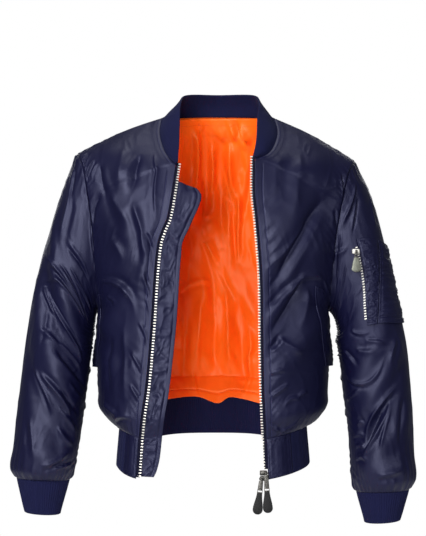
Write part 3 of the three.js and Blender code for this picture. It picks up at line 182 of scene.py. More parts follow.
# Finer creases. Each runs from a pinched end to a wide end, with the width at both, its height
# and how far it bows aside. u, v are places on the panel, and the rest are millimetres.
CREASES = {
    "front_right": (
        (0.271, 0.852, 0.417, 0.717, 9, 12, -4.2, -4), (0.412, 0.902, 0.568, 0.731, 14, 18, 2.6, -1),
        (0.377, 0.685, 0.07, 0.497, 8, 9, 4.6, -1), (0.191, 0.589, 0.02, 0.507, 3, 4, -3.4, 3),
        (0.648, 0.741, 0.377, 0.633, 12, 14, 3.0, -1), (0.734, 0.86, 0.709, 0.719, 10, 12, -2.6, -5),
        (0.874, 0.95, 1, 0.896, 3, 3, 2.6, -4), (0.814, 0.896, 1, 0.818, 3, 4, 3.6, -5),
        (0.764, 0.88, 0.894, 0.826, 3, 3.5, 2.4, -3), (0.839, 0.936, 1, 0.864, 2.5, 3, -2.4, -4),
        (0.814, 0.758, 1, 0.665, 9, 10, -3.6, -7), (0.759, 0.521, 0.171, 0.355, 4, 8, 4.4, 23),
        (0.608, 0.465, 0.412, 0.411, 3, 5, 3.0, 1), (0.638, 0.621, 0.407, 0.539, 7, 9, 2.2, 3),
        (0.191, 0.244, 0.045, 0.178, 3, 4, 3.4, 1), (0.176, 0.148, 0.04, 0.1, 3, 4, 3.0, -0),
        (0.307, 0.321, 0.246, 0.084, 11, 12, 2.8, 3), (0.492, 0.301, 0.467, 0.134, 10, 12, -2.6, -10),
        (0.121, 0.325, 0, 0.244, 3, 5, 2.6, 3), (0.121, 0.465, 0.005, 0.381, 3, 5, 2.8, -1),
        (0.07, 0.389, 0, 0.321, 2.5, 4, 2.2, 2), (0.05, 0.493, 0, 0.431, 2.5, 4, 2.2, 3),
        (0.452, 0.048, 0.106, 0.054, 4, 5, 2.8, 7), (0.553, 0.098, 0.322, 0.06, 4, 6, 2.8, 0),
        (0.126, 0.836, 0.101, 0.611, 3, 4, 2.2, -12),
    ),
    "front_left": (
        (0.688, 0.723, 0.04, 0.409, 13, 9, -6.5, 2), (0.412, 0.483, 0.045, 0.291, 8, 8, -5.5, -3),
        (0.543, 0.665, 0.04, 0.477, 6, 9, 3, -3), (0.447, 0.503, 0.025, 0.337, 6, 7, 3.6, 2),
        (0.749, 0.527, 0.362, 0.487, 4, 7, 3, 7), (0.513, 0.469, 0.322, 0.311, 12, 16, 4, -1),
        (0.905, 0.731, 1, 0.681, 4, 4, -3, -1), (0.894, 0.864, 1, 0.782, 4, 4, -3, -4),
        (0.774, 0.529, 1, 0.489, 2.5, 3.5, 2.4, 5), (0.151, 0.289, 0.382, 0.255, 10, 12, 3.6, 4),
        (0.07, 0.244, 0.196, 0.291, 4, 7, 3.2, 3), (0.055, 0.182, 0.196, 0.198, 3, 5, 2.8, -2),
        (0.06, 0.122, 0.241, 0.16, 3, 5, 3.2, 0), (0.332, 0.122, 0.447, 0.136, 3, 4, 2.4, -2),
        (0.045, 0.042, 0.191, 0.018, 3, 4, 3.4, 1), (0.191, 0.018, 0.377, 0.058, 3, 4, 3.4, 4),
        (0.186, 0.098, 0.377, 0.106, 4, 6, 2.6, -9), (0.06, 0.655, 0.227, 0.727, 5, 10, 1, 2),
        (0.055, 0.623, 0.289, 0.719, 5, 10, 1.1, 2), (0.055, 0.587, 0.274, 0.68, 5, 10, 1.2, 2),
        (0.05, 0.547, 0.306, 0.658, 5, 10, 1.2, 2), (0.05, 0.505, 0.291, 0.613, 5, 10, 1.3, 1),
        (0.04, 0.471, 0.222, 0.546, 5, 10, 1.3, 0), (0.03, 0.381, 0.196, 0.447, 5, 10, 1.2, -0),
        (0.035, 0.337, 0.186, 0.4, 5, 10, 1.2, -0), (0.035, 0.265, 0.224, 0.34, 5, 10, 1.3, 1),
        (0.04, 0.216, 0.206, 0.275, 5, 10, 1.3, 1), (0.327, 0.856, 0.357, 0.649, 14, 20, 2.4, -10),
        (0.151, 0.818, 0.181, 0.667, 10, 14, 1.6, -6),
    ),
    "back": (
        (-0.97, 0.9, -0.7, 0.84, 4, 10, 2.6, 4), (0.97, 0.9, 0.7, 0.84, 4, 10, 2.6, -4),
        (-0.98, 0.76, -0.62, 0.68, 4, 11, 3.0, 5), (0.98, 0.78, 0.6, 0.68, 4, 11, 3.0, 5),
        (-0.98, 0.64, -0.5, 0.52, 4, 12, 3.4, -6), (0.98, 0.64, 0.52, 0.54, 4, 12, 3.2, 6),
        (-0.97, 0.5, -0.55, 0.4, 4, 10, 2.8, 5), (0.97, 0.5, 0.5, 0.38, 4, 11, 3.0, -5),
        (-0.98, 0.36, -0.55, 0.3, 4, 10, 2.6, 5), (0.98, 0.34, 0.55, 0.26, 4, 10, 2.6, 5),
        (-0.8, 0.02, -0.7, 0.13, 4, 9, 2.6, 3), (-0.45, 0.02, -0.4, 0.14, 4, 9, 2.6, -3),
        (-0.1, 0.02, -0.08, 0.12, 4, 9, 2.4, 3), (0.25, 0.02, 0.22, 0.14, 4, 9, 2.6, 3),
        (0.6, 0.02, 0.52, 0.13, 4, 9, 2.6, -3), (0.85, 0.02, 0.75, 0.12, 4, 9, 2.4, 3),
        (0.2, 0.97, 0.15, 0.8, 5, 14, 2.2, 6), (-0.2, 0.97, -0.16, 0.82, 5, 14, 2.2, -6),
    ),
    "lining": (
        (-0.128, 0.952, -0.182, 0.645, 9, 13, -8, -4), (-0.065, 0.96, -0.056, 0.701, 7, 9, 6, 7),
        (-0.092, 0.782, -0.194, 0.567, 9, 12, -7, 0), (0.014, 0.886, 0.044, 0.561, 9, 11, 7, -1),
        (-0.035, 0.872, -0.059, 0.715, 5, 6, -5, -6), (0.074, 0.906, 0.119, 0.717, 8, 9, -5, -0),
        (0.17, 0.707, 0.137, 0.461, 5, 6, -6, -3), (0.122, 0.647, 0.134, 0.439, 6, 7, 5, -1),
        (0.038, 1, 0.119, 0.906, 3, 5, -4, 0), (0.098, 0.984, 0.23, 0.902, 3, 5, -5, 2),
        (0.083, 0.99, 0.194, 0.886, 3, 5, 4, 0), (-0.077, 0.539, 0.002, 0.461, 4, 5, -4, -1),
        (-0.095, 0.984, -0.095, 0.928, 3, 4, 3, 1), (-0.191, 0.381, -0.011, 0.395, 4, 6, -4, -9),
        (-0.089, 0.343, -0.113, 0.106, 9, 11, -7, 1), (-0.023, 0.407, -0.017, 0.106, 8, 10, 6, -3),
        (0.059, 0.375, 0.08, 0.078, 7, 9, -6, -1), (0.14, 0.345, 0.176, 0.058, 8, 9, 6, 2),
        (-0.167, 0.281, -0.194, 0.064, 6, 8, 5, -0), (0.2, 0.248, 0.215, 0.056, 5, 6, -5, -1),
        (-0.134, 0.108, -0.146, 0.026, 3, 4, -4, -2), (0.083, 0.084, 0.077, 0.018, 3, 4, -4, -1),
        (0.218, 0.086, 0.227, 0.022, 3, 4, -4, -1), (0.266, 0.844, 0.215, 0.607, 7, 8, 4, 1),
    ),
    "sleeve_right": (
        (46, 0.457, 81, 0.499, 4, 5, 3.4, -1), (63, 0.461, 147, 0.639, 4, 5, 4.6, 15),
        (93, 0.605, 169, 0.711, 7, 6, -5.4, -1), (75, 0.691, 139, 0.82, 4, 6, 4.8, 6),
        (58, 0.679, 102, 0.79, 4, 5, 4.2, 2), (62, 0.565, 98, 0.595, 5, 5, 3.4, 2),
        (97, 0.585, 153, 0.665, 4, 4, 2.8, 5), (114, 0.834, 151, 0.878, 5, 5, 3.6, -3),
        (95, 0.938, 141, 0.894, 5, 5, 3.6, -2), (115, 0.946, 156, 0.93, 2.5, 3, 2.6, -0),
        (77, 0.315, 156, 0.397, 5, 5, -4.0, 22), (65, 0.383, 139, 0.367, 5, 4, 3.2, 6),
        (90, 0.269, 151, 0.22, 4, 4, 3.0, 1), (37, 0.128, 54, 0.287, 9, 11, 3.0, 3),
        (32, 0.369, 95, 0.337, 4, 5, 3.4, 0), (77, 0.238, 131, 0.132, 5, 5, -3.6, 0),
        (41, 0.453, 83, 0.347, 3, 4, 2.4, -1), (111, 0.78, 156, 0.848, 4, 4, 3.0, -0),
        (59, 0.816, 78, 0.928, 8, 9, 2.6, 2), (123, 0.703, 168, 0.758, 3.5, 4, 2.6, -3),
        (19, 0.058, 47, 0.152, 5, 6, -2.6, -2), (64, 0.503, 65, 0.623, 8, 9, -2.8, 3),
        (110, 0.727, 151, 0.792, 4, 4, -3.2, -1), (-176, 0.42, -70, 0.38, 4, 11, 3.2, 5),
        (-176, 0.54, -60, 0.5, 4, 11, 3.2, -5), (-176, 0.66, -70, 0.6, 4, 10, 3.0, 5),
        (-176, 0.78, -60, 0.72, 4, 10, 3.0, 5), (-30, 0.5, -90, 0.62, 4, 11, 3.0, 5),
        (-20, 0.7, -80, 0.78, 4, 10, 3.0, 5),
    ),
    "sleeve_left": (
        (101, 0.537, 71, 0.579, 2.5, 3, 2.8, 0), (146, 0.651, 77, 0.615, 4, 5, 3.6, 21),
        (158, 0.725, 123, 0.693, 2.5, 3.5, 3.0, 1), (122, 0.822, 53, 0.703, 4, 7, 5.0, -9),
        (127, 0.878, 71, 0.733, 3, 4, 4.2, 5), (126, 0.858, 83, 0.747, 5, 5, -5.4, -0),
        (97, 0.858, 70, 0.745, 4, 5, 3.0, -1), (105, 0.938, 59, 0.928, 5, 6, 3.8, 0),
        (141, 0.802, 123, 0.8, 2.5, 3, 2.6, -3), (152, 0.834, 124, 0.836, 2.5, 3, 2.4, -3),
        (148, 0.862, 124, 0.866, 2.5, 3, 2.6, -4), (147, 0.894, 120, 0.896, 2.5, 3, 2.4, -4),
        (34, 0.068, 90, 0.034, 5, 7, 4.0, -9), (44, 0.106, 83, 0.124, 5, 5, -3.6, -1),
        (120, 0.004, 97, 0.114, 3, 4, 3.0, 4), (124, 0.431, 93, 0.515, 3, 4, 2.6, 6),
        (121, 0.549, 87, 0.587, 6, 8, 2.4, 4), (145, 0.515, 120, 0.617, 4, 5, -2.8, 1),
        (52, 0.583, 70, 0.645, 6, 7, 2.2, 3), (47, 0.745, 63, 0.874, 8, 9, -2.6, 5),
        (99, 0.04, 146, 0.074, 5, 5, -3.0, -1), (113, 0.132, 153, 0.164, 4, 5, 2.4, 0),
        (15, 0.166, 33, 0.255, 7, 9, 2.2, 7), (-176, 0.42, -70, 0.38, 4, 11, 3.2, 5),
        (-176, 0.54, -60, 0.5, 4, 11, 3.2, -5), (-176, 0.66, -70, 0.6, 4, 10, 3.0, 5),
        (-176, 0.78, -60, 0.72, 4, 10, 3.0, 5), (-30, 0.6, -90, 0.7, 4, 11, 3.0, 5),
        (-20, 0.76, -80, 0.82, 4, 10, 3.0, 5),
    ),
}


def spline(rows, column, at):
    at = np.clip(np.asarray(at, float), rows["at"][0], rows["at"][-1])
    xs, ys = rows["at"], rows[column]
    last = len(xs) - 1
    k = np.clip(np.searchsorted(xs, at) - 1, 0, last - 1)

    def slope(i):
        before, after = np.maximum(i - 1, 0), np.minimum(i + 1, last)
        return (ys[after] - ys[before]) / (xs[after] - xs[before])

    span = xs[k + 1] - xs[k]
    t = (at - xs[k]) / span
    rise = t * t * (3 - 2 * t)
    start, finish = t * (1 - t) ** 2, t * t * (t - 1)
    return ys[k] + (ys[k + 1] - ys[k]) * rise + span * (slope(k) * start + slope(k + 1) * finish)


def splines(rows, at, columns="x y z"):
    return np.stack([spline(rows, column, at) for column in columns.split()], -1)


def smooth(t):
    s = np.clip(t, 0, 1)
    return s * s * (3 - 2 * s)


def sign(side):
    return 1 if side == "left" else -1


def mix(a, b, t):
    return a + (b - a) * t


def unit(vectors):
    return vectors / np.maximum(np.linalg.norm(vectors, axis=-1, keepdims=True), 1e-9)


def chance(k, seed):
    """A repeatable number from 0 to 1 for each whole number k."""
    return np.modf(np.abs(np.sin(k * 127.1 + seed * 311.7) * 43758.5453))[0]


def wander(x, seed):
    """Smooth uneven numbers from 0 to 1 along x."""
    k = np.floor(x)
    t = smooth(x - k)
    return mix(chance(k, seed), chance(k + 1, seed), t)


def rumple(x, y, seed):
    """Smooth uneven numbers from -1 to 1 over a surface."""
    k, m = np.floor(x), np.floor(y)
    s, t = smooth(x - k), smooth(y - m)
    low = mix(chance(k + 57 * m, seed), chance(k + 1 + 57 * m, seed), s)
    high = mix(chance(k + 57 * (m + 1), seed), chance(k + 1 + 57 * (m + 1), seed), s)
    return 2 * mix(low, high, t) - 1


def crumple(x, y, seed):
    """Sharp little folds from -1 to 1, bent by a slower wander."""
    bent_x = x + 0.8 * rumple(x * 0.6, y * 0.6, seed + 3)
    bent_y = y + 0.8 * rumple(x * 0.6, y * 0.6, seed + 4)
    return 1 - 2 * np.abs(rumple(bent_x, bent_y, seed))


def big_folds(name, kind, u, v):
    wide, tall = SPAN[kind]
    lift = 0
    for u1, v1, u2, v2, width, height in BIG_FOLDS[name]:
        run = ((u2 - u1) * wide, (v2 - v1) * tall)
        start = ((u - u1) * wide, (v - v1) * tall)
        length = math.hypot(*run)
        along = (start[0] * run[0] + start[1] * run[1]) / length
        aside = np.abs(start[0] * run[1] - start[1] * run[0]) / length
        past = np.maximum(np.maximum(-along, along - length), 0)
        lift = lift + height * np.exp(-((past / 30) ** 2)) * np.exp(-((aside / width) ** 2))
    near = 1 - np.abs(u) if kind == "back" else np.minimum(u, 1 - u)
    calm = smooth(near / SEAM_CALM[kind]) if SEAM_CALM[kind] else 1
    return lift * calm * smooth(np.minimum(v, 1 - v) / ROW_CALM)


def creases(name, kind, u, v):
    """The finer creases: a crest, with a softer trough along one side."""
    wide, tall = SPAN[kind]
    lift = 0
    for k, (u1, v1, u2, v2, start, end, height, bow) in enumerate(CREASES[name]):
        run = ((u2 - u1) * wide, (v2 - v1) * tall)
        place = ((u - u1) * wide, (v - v1) * tall)
        length = math.hypot(*run)
        t = (place[0] * run[0] + place[1] * run[1]) / length**2
        aside = (place[0] * run[1] - place[1] * run[0]) / length - bow * 4 * t * (1 - t)
        width = np.maximum(mix(abs(start), abs(end), np.clip(t, 0, 1)), 1) * (1 if name == "lining" else 0.88)
        s = aside / width * (1 if k % 2 else -1)
        crest = np.exp(-1.7 * (np.sqrt(s * s + 0.06) - 0.245))
        trough = 0.45 * np.exp(-(((s - 1.5) / 0.9) ** 2))
        lift = lift + height * (crest - trough) * smooth((t + 0.12) / 0.3) * smooth((1.05 - t) / 0.45)
    return lift * (1 if name == "lining" else 1.3)


def puckers(away, along, pitch, reach, height, slant, seed):
    """Short uneven gathers that leave a seam: away and along are distances from and along it."""
    q = (along - away * slant) / pitch
    q = q + 1.1 * wander(q * 0.55, seed)
    crest = (0.5 + 0.5 * np.cos(2 * np.pi * q)) ** 1.4 - 0.4
    strength = 0.25 + 0.75 * wander(q * 0.5, seed + 1)
    far = reach * (0.35 + 1.3 * wander(q * 0.45, seed + 2))
    return height * strength * crest * np.exp(-((away / far) ** 2)) * smooth(away / 2.5)


def groove(away, at, width, depth):
    return -depth * np.exp(-(((away - at) / width) ** 2))


def puff(away, width, height):
    """The cloth rises on both sides of a seam, and stays on the seam line itself."""
    return height * (1 - np.exp(-((away / width) ** 2)))


# Seam lines and panels
def front_edge(side, v):
    v = np.asarray(v, float)
    low = splines(FRONT_ZIP[side], v)
    high = splines(FRONT_NECK[side], v)
    p = np.where((v <= ZIP_TOP)[..., None], low, high)
    return p * (sign(side), 1, 1)


def side_edge(side, v, face):
    v = np.asarray(v, float)
    up = smooth((v - ARMPIT) / (1 - ARMPIT))
    shift = SIDE_SHIFT * (1 - up)
    low = splines(SIDE_SEAM, v)
    high = splines(ARMHOLE, v, f"x {face} z")
    high[..., 2] -= (LEFT_SHOULDER_DROP if side == "left" else 0) * up
    p = np.where((v <= ARMPIT)[..., None], low, high) * (sign(side), 1, 1)
    p[..., 0] += shift
    return p


def turned_row(inner, outer, u, v):
    turn = np.radians(spline(TURN_AT_END, "turn", v))
    across = np.sin(u * turn) / np.sin(turn)
    back = (1 - np.cos(u * turn)) / (1 - np.cos(turn))
    crown = SHOULDER_CROWN * np.sin(np.pi * across) * smooth((v - 0.6) / 0.4)
    behind = inner[..., 1] > 0
    fall = np.where(behind, np.maximum(across, 0) ** (4 - 2 * smooth(v / 0.5)), across)
    return np.stack(
        [
            mix(inner[..., 0], outer[..., 0], across),
            mix(inner[..., 1], outer[..., 1], back),
            mix(inner[..., 2], outer[..., 2], fall) + crown,
        ],
        -1,
    )


def front_smooth(side, u, v):
    return turned_row(front_edge(side, v), side_edge(side, v, "front"), u, v)


def front_point(side, u, v):
    turn = np.radians(u * spline(TURN_AT_END, "turn", v))
    out = np.stack([sign(side) * np.sin(turn), -np.cos(turn), 0 * turn], -1)
    return front_smooth(side, u, v) + out * big_folds(f"front_{side}", "front", u, v)[..., None]


def by_side(u, left, right):
    return np.where((u > 0)[..., None], left, right)


def back_top(u):
    neck = splines(BACK_NECK, u / NECK_SHARE)
    along = np.clip((np.abs(u) - NECK_SHARE) / (1 - NECK_SHARE), 0, 1)
    one = np.ones_like(along)
    shoulder = by_side(u, front_smooth("left", along, one), front_smooth("right", along, one))
    return np.where((np.abs(u) <= NECK_SHARE)[..., None], neck, shoulder)


def back_row(u, v):
    middle = splines(BACK_MIDDLE, v)
    outer = by_side(u, side_edge("left", v, "back"), side_edge("right", v, "back"))
    return turned_row(middle, outer, np.abs(u), v)


def back_point(u, v):
    share = np.maximum((v - 0.5) / 0.5, 0) ** 5
    turn = np.radians(u * spline(TURN_AT_END, "turn", v))
    row = back_row(u, v) + (back_top(u) - back_row(u, np.ones_like(v))) * share[..., None]
    out = np.stack([np.sin(turn), np.cos(turn), 0 * turn], -1)
    return row + out * big_folds("back", "back", u, v)[..., None]


def hem_band(seam, w):
    w = np.asarray(w, float)
    return np.stack(
        [seam[..., 0] * (1 + 0.035 * w), seam[..., 1] * (1 + 0.03 * w), seam[..., 2] - HEM_RIB_HEIGHT * w],
        -1,
    )


def sleeve_ring(section, side, angle):
    a = np.radians(angle)
    reach = np.cos(a)
    x = (section["outX"] + section["inX"]) / 2 + (section["outX"] - section["inX"]) / 2 * reach
    z = (section["outZ"] + section["inZ"]) / 2 + (section["outZ"] - section["inZ"]) / 2 * reach
    over_x, over_z = (section["leftX"], section["leftZ"] - LEFT_SHOULDER_DROP) if side == "left" else (0, 0)
    y = section["y"] - section["depth"] * np.sin(a)
    return np.stack([sign(side) * x + over_x, y, z + over_z], -1)


def armhole_point(side, angle):
    v = 1 - np.abs(angle) / 180 * (1 - ARMPIT)
    front = side_edge(side, v, "front")
    behind = side_edge(side, v, "back")
    return np.where((angle >= 0)[..., None], front, behind)


def sleeve_point(side, angle, t):
    columns = [name for name in SLEEVE if name != "at"]
    section = {column: spline(SLEEVE, column, t) for column in columns}
    first = {column: SLEEVE[column][0] for column in columns}
    ring = sleeve_ring(section, side, angle)
    keep = (1 - smooth(t / CAP_BLEND)) ** 1.5
    own = armhole_point(side, angle) - sleeve_ring(first, side, angle)
    a = np.radians(angle)
    out = np.stack([sign(side) * np.cos(a) * 0.8, -np.sin(a), np.cos(a) * 0.2], -1)
    lift = big_folds(f"sleeve_{side}", "sleeve", angle, t)
    return ring + out * lift[..., None] + own * keep[..., None]


class Panel:
    """A panel of cloth: its smooth form, and a relief that lies on it."""

    def __init__(self, form, relief, step, inside):
        self.form, self.relief, self.step, self.inside = form, relief, step, np.array(inside, float)

    def normal(self, u, v):
        du, dv = self.step
        across = self.form(u + du, v) - self.form(u - du, v)
        up = self.form(u, np.minimum(v + dv, 1)) - self.form(u, np.maximum(v - dv, 0))
        n = unit(np.cross(across, up))
        p = self.form(u, v)
        away = p - self.inside
        away[..., 2] = 0
        outward = np.sign((n * away).sum(-1).mean())
        return n * outward

    def at(self, u, v, lift=0, share=1):
        n = self.normal(u, v)
        raised = self.relief(u, v) * share + lift
        return self.form(u, v) + n * raised[..., None]


def relief_front(side):
    name = f"front_{side}"
    rows = np.linspace(0, 1, 60)
    across = np.linspace(0, 1, 24)
    grid = front_smooth(side, *np.meshgrid(across, rows))
    lengths = np.linalg.norm(np.diff(grid, axis=1), axis=-1).sum(1)

    def relief(u, v):
        wide = np.interp(v, rows, lengths)
        zip_away, side_away = u * wide, (1 - u) * wide
        foot, top = v * 560, (1 - v) * 560
        along = v * 560
        lift = creases(name, "front", u, v) * smooth(zip_away / 16) * smooth(foot / 10) * smooth(top / 14)
        lift = lift * smooth(side_away / 8)
        slant = 0.95 if side == "left" else 0.8
        by_zip = smooth((ZIP_TOP - 0.02 - v) / 0.08) * (zip_away > 13) * (1.5 if side == "left" else 0.9)
        lift = lift + puckers(np.maximum(zip_away - 13, 0), along, 15, 26, 0.7, slant, 3) * by_zip
        lift = lift + puckers(side_away, along, 12, 20, 1.5, 0.5, 7)
        lift = lift + puckers(foot, zip_away, 17, 26, 2.0, 0.2, 11) * smooth(zip_away / 14)
        lift = lift + puckers(top, zip_away, 20, 14, 0.8, 0.1, 13)
        lift = lift + 1.6 * rumple(u * 3.1 + v, v * 6.5, 2) * smooth(zip_away / 20)
        lift = lift + 0.42 * crumple(u * 9 + 3 * v, v * 21, 5) * smooth((zip_away - 13) / 9)
        edges = np.minimum(np.minimum(side_away, foot), top)
        lift = lift * smooth(edges / 5) + puff(edges, 2.2, 1.2)
        lift = lift + groove(zip_away, 13, 1.1, 0.6) * smooth(edges / 4) * smooth((ZIP_TOP - v) / 0.01)
        neck = smooth((v - ZIP_TOP) / 0.02)
        welt = puff(zip_away, 2.4, 1.2) * smooth(edges / 5) + groove(zip_away, 6.2, 1.3, 1.0) * smooth(edges / 8)
        return lift + welt * neck

    return relief, lambda v: np.interp(v, rows, lengths)


def relief_back(u, v):
    side_away = (1 - np.abs(u)) * 270
    foot, top = v * 570, (1 - v) * 570
    lift = creases("back", "back", u, v) * smooth(side_away / 10) * smooth(foot / 10) * smooth(top / 14)
    lift = lift + puckers(side_away, v * 570, 14, 28, 1.8, 0.5, 21)
    lift = lift + puckers(foot, u * 270, 17, 28, 2.0, 0.2, 23)
    lift = lift + puckers(top, u * 270, 19, 14, 0.9, 0.1, 25)
    lift = lift + 1.8 * rumple(u * 4.4 + v, v * 6.5, 22) + 0.42 * crumple(u * 13 + 3 * v, v * 21, 25)
    edges = np.minimum(np.minimum(side_away, foot), top)
    return lift * smooth(edges / 5) + puff(edges, 2.2, 1.2)


def relief_sleeve(side):
    name = f"sleeve_{side}"

    def relief(angle, t):
        turned = (angle + 180) % 360 - 180
        under = (180 - np.abs(turned)) * 1.15
        top, foot = t * 470, (1 - t) * 470
        lift = creases(name, "sleeve", turned, t) * smooth(top / 14) * smooth(foot / 10) * smooth(under / 10)
        lift = lift + puckers(under, t * 470, 14, 30, 2.2, 0.45, 31)
        lift = lift + puckers(top, turned * 1.15, 16, 24, 1.6, 0.2, 33)
        lift = lift + puckers(foot, turned * 1.15, 15, 26, 2.4, 0.15, 35)
        around = np.abs(turned) / 40
        lift = lift + 1.4 * rumple(around + t, t * 6, 32 + (side == "left"))
        lift = lift + 0.5 * crumple(around * 2.5 + 3 * t, t * 19, 38)
        lift = lift + groove(under, 0, 2, 1.2)
        edges = np.minimum(top, foot)
        return lift * smooth(edges / 5) + puff(edges, 2.2, 1.2)

    return relief


FRONT_WIDE = {}
PANELS = {}
for side in ("right", "left"):
    relief, FRONT_WIDE[side] = relief_front(side)
    form = lambda u, v, side=side: front_point(side, u, v)
    PANELS[f"front_{side}"] = Panel(form, relief, (0.004, 0.003), (0, 0, 0))
    sleeve_form = lambda a, t, side=side: sleeve_point(side, (a + 180) % 360 - 180, t)
    PANELS[f"sleeve_{side}"] = Panel(sleeve_form, relief_sleeve(side), (1, 0.003), (0, 0, 0))
PANELS["back"] = Panel(back_point, relief_back, (0.004, 0.003), (0, 0, 0))
PANELS["sleeve_left"].inside = np.array([286.0, 0, 0])
PANELS["sleeve_right"].inside = np.array([-286.0, 0, 0])


# Materials
def linear(colour):
    r, g, b = (c / 255 for c in colour)
    return tuple(c / 12.92 if c <= 0.04045 else ((c + 0.055) / 1.055) ** 2.4 for c in (r, g, b)) + (1,)


def material(name, dark, light, rough, patch=30, metallic=0, sheen=0, weave=None, bump=0.2, grain=900, gloss=0.5, tint=(255, 255, 255)):
    """Cloth, metal or rubber: two close colours in soft patches, uneven gloss, and a fine surface."""
    made = bpy.data.materials.new(name)
    made.use_nodes = True
    nodes, links = made.node_tree.nodes, made.node_tree.links
    shader = nodes["Principled BSDF"]
    shader.inputs["Metallic"].default_value = metallic
    shader.inputs["Sheen Weight"].default_value = sheen
    shader.inputs["Sheen Roughness"].default_value = 0.35
    shader.inputs["Sheen Tint"].default_value = linear((150, 155, 200)) if sheen else (1, 1, 1, 1)
    shader.inputs["Specular IOR Level"].default_value = gloss
    shader.inputs["Specular Tint"].default_value = linear(tint)
    place = nodes.new("ShaderNodeTexCoord")
    soft = nodes.new("ShaderNodeTexNoise")
    soft.inputs["Scale"].default_value = patch
    soft.inputs["Detail"].default_value = 4
    links.new(place.outputs["Object"], soft.inputs["Vector"])
    ramp = nodes.new("ShaderNodeMix")
    ramp.data_type = "RGBA"
    ramp.inputs[6].default_value = linear(dark)
    ramp.inputs[7].default_value = linear(light)
    links.new(soft.outputs["Fac"], ramp.inputs[0])
    links.new(ramp.outputs[2], shader.inputs["Base Color"])
    spread = nodes.new("ShaderNodeMapRange")
    spread.inputs["From Min"].default_value = 0.3
    spread.inputs["From Max"].default_value = 0.7
    spread.inputs["To Min"].default_value = rough[0]
    spread.inputs["To Max"].default_value = rough[1]
    links.new(soft.outputs["Fac"], spread.inputs["Value"])
    links.new(spread.outputs[0], shader.inputs["Roughness"])
    fine = nodes.new("ShaderNodeTexNoise")
    fine.inputs["Scale"].default_value = grain
    fine.inputs["Detail"].default_value = 2
    links.new(place.outputs["Object"], fine.inputs["Vector"])
    height = fine.outputs["Fac"]
    if weave:
        for k, (direction, pitch) in enumerate(weave):
            wave = nodes.new("ShaderNodeTexWave")
            wave.bands_direction = direction
            wave.inputs["Scale"].default_value = math.tau / 20 / pitch * 1000
            wave.inputs["Distortion"].default_value = 0.6
            wave.inputs["Detail Scale"].default_value = 2
            links.new(place.outputs["UV"], wave.inputs["Vector"])
            add = nodes.new("ShaderNodeMath")
            add.operation = "ADD"
            links.new(height, add.inputs[0])
            links.new(wave.outputs["Fac"], add.inputs[1])
            height = add.outputs[0]
    relief = nodes.new("ShaderNodeBump")
    relief.inputs["Strength"].default_value = bump
    relief.inputs["Distance"].default_value = 0.0004
    links.new(height, relief.inputs["Height"])
    links.new(relief.outputs[0], shader.inputs["Normal"])
    return made


TWILL = (("X", 1.1), ("DIAGONAL", 1.4))
PLAIN = (("X", 1.1), ("Y", 1.3))
SATIN = (212, 216, 255)
NYLON = material("navy_nylon", (6, 6, 32), (12, 12, 44), (0.4, 0.51), 9, 0, 0.02, TWILL, 0.14, 900, 0.44, SATIN)
ORANGE = material("orange_nylon", (255, 99, 14), (255, 114, 26), (0.38, 0.5), 9, 0, 0, PLAIN, 0.12, 900, 0.5, (255, 214, 180))
KNIT = (("X", 3.2), ("Y", 1.6))
RIB = material("navy_rib_knit", (14, 16, 45), (22, 24, 58), (0.85, 0.95), 60, 0, 0.06, KNIT, 0.6, 1500, 0.2, SATIN)
WEBBING = (("X", 1.0), ("Y", 0.9))
TAPE = material("zip_tape", (8, 8, 26), (14, 14, 36), (0.8, 0.9), 60, 0, 0.02, WEBBING, 0.4, 900, 0.15)
THREAD = material("navy_thread", (40, 42, 86), (56, 58, 106), (0.5, 0.6), 80, 0, 0.1, None, 0.3, 3000, 0.3)
ORANGE_THREAD = material("orange_thread", (190, 52, 8), (220, 70, 14), (0.5, 0.6), 80, 0, 0, None, 0.3, 3000, 0.3)
SILVER = material("zip_metal", (214, 211, 202), (240, 237, 228), (0.36, 0.5), 120, 0.45, 0, None, 0.2, 1400)
GUNMETAL = material("pull_metal", (52, 52, 50), (92, 90, 86), (0.26, 0.4), 300, 0.9, 0, None, 0.4, 1400)
RUBBER = material("pull_grip", (9, 9, 10), (15, 15, 16), (0.42, 0.55), 90, 0, 0, None, 0.4, 2600, 0.25)
BRUSHED = material("sleeve_grip", (84, 86, 78), (122, 124, 114), (0.34, 0.46), 120, 0.9, 0, None, 0.35, 1800)


# Meshes
def mesh_piece(name, points, faces, uvs, materials, picks=None, soft=True):
    data = bpy.data.meshes.new(name)
    data.from_pydata((np.asarray(points) * 0.001).tolist(), [], faces)
    layer = data.uv_layers.new(name="cloth")
    order = np.zeros(len(data.loops), int)
    data.loops.foreach_get("vertex_index", order)
    layer.data.foreach_set("uv", (np.asarray(uvs)[order] * 0.001).ravel())
    for made in materials:
        data.materials.append(made)
    if picks is not None:
        data.polygons.foreach_set("material_index", picks)
    data.polygons.foreach_set("use_smooth", [soft] * len(data.polygons))
    data.update()
    piece = bpy.data.objects.new(name, data)
    bpy.context.collection.objects.link(piece)
    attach(piece, "jacket")
    return piece


def grid_uv(grid, round_=False):
    across = np.linalg.norm(np.diff(grid, axis=1), axis=-1).mean(0)
    down = np.linalg.norm(np.diff(grid, axis=0), axis=-1).mean(1)
    x = np.concatenate([[0], np.cumsum(across)])
    y = np.concatenate([[0], np.cumsum(down)])
    return np.stack(np.meshgrid(x, y), -1)


def surface_normals(grid, round_=False):
    if round_:
        across = np.roll(grid, -1, 1) - np.roll(grid, 1, 1)
    else:
        across = np.gradient(grid, axis=1)
    up = np.gradient(grid, axis=0)
    return unit(np.cross(across, up))


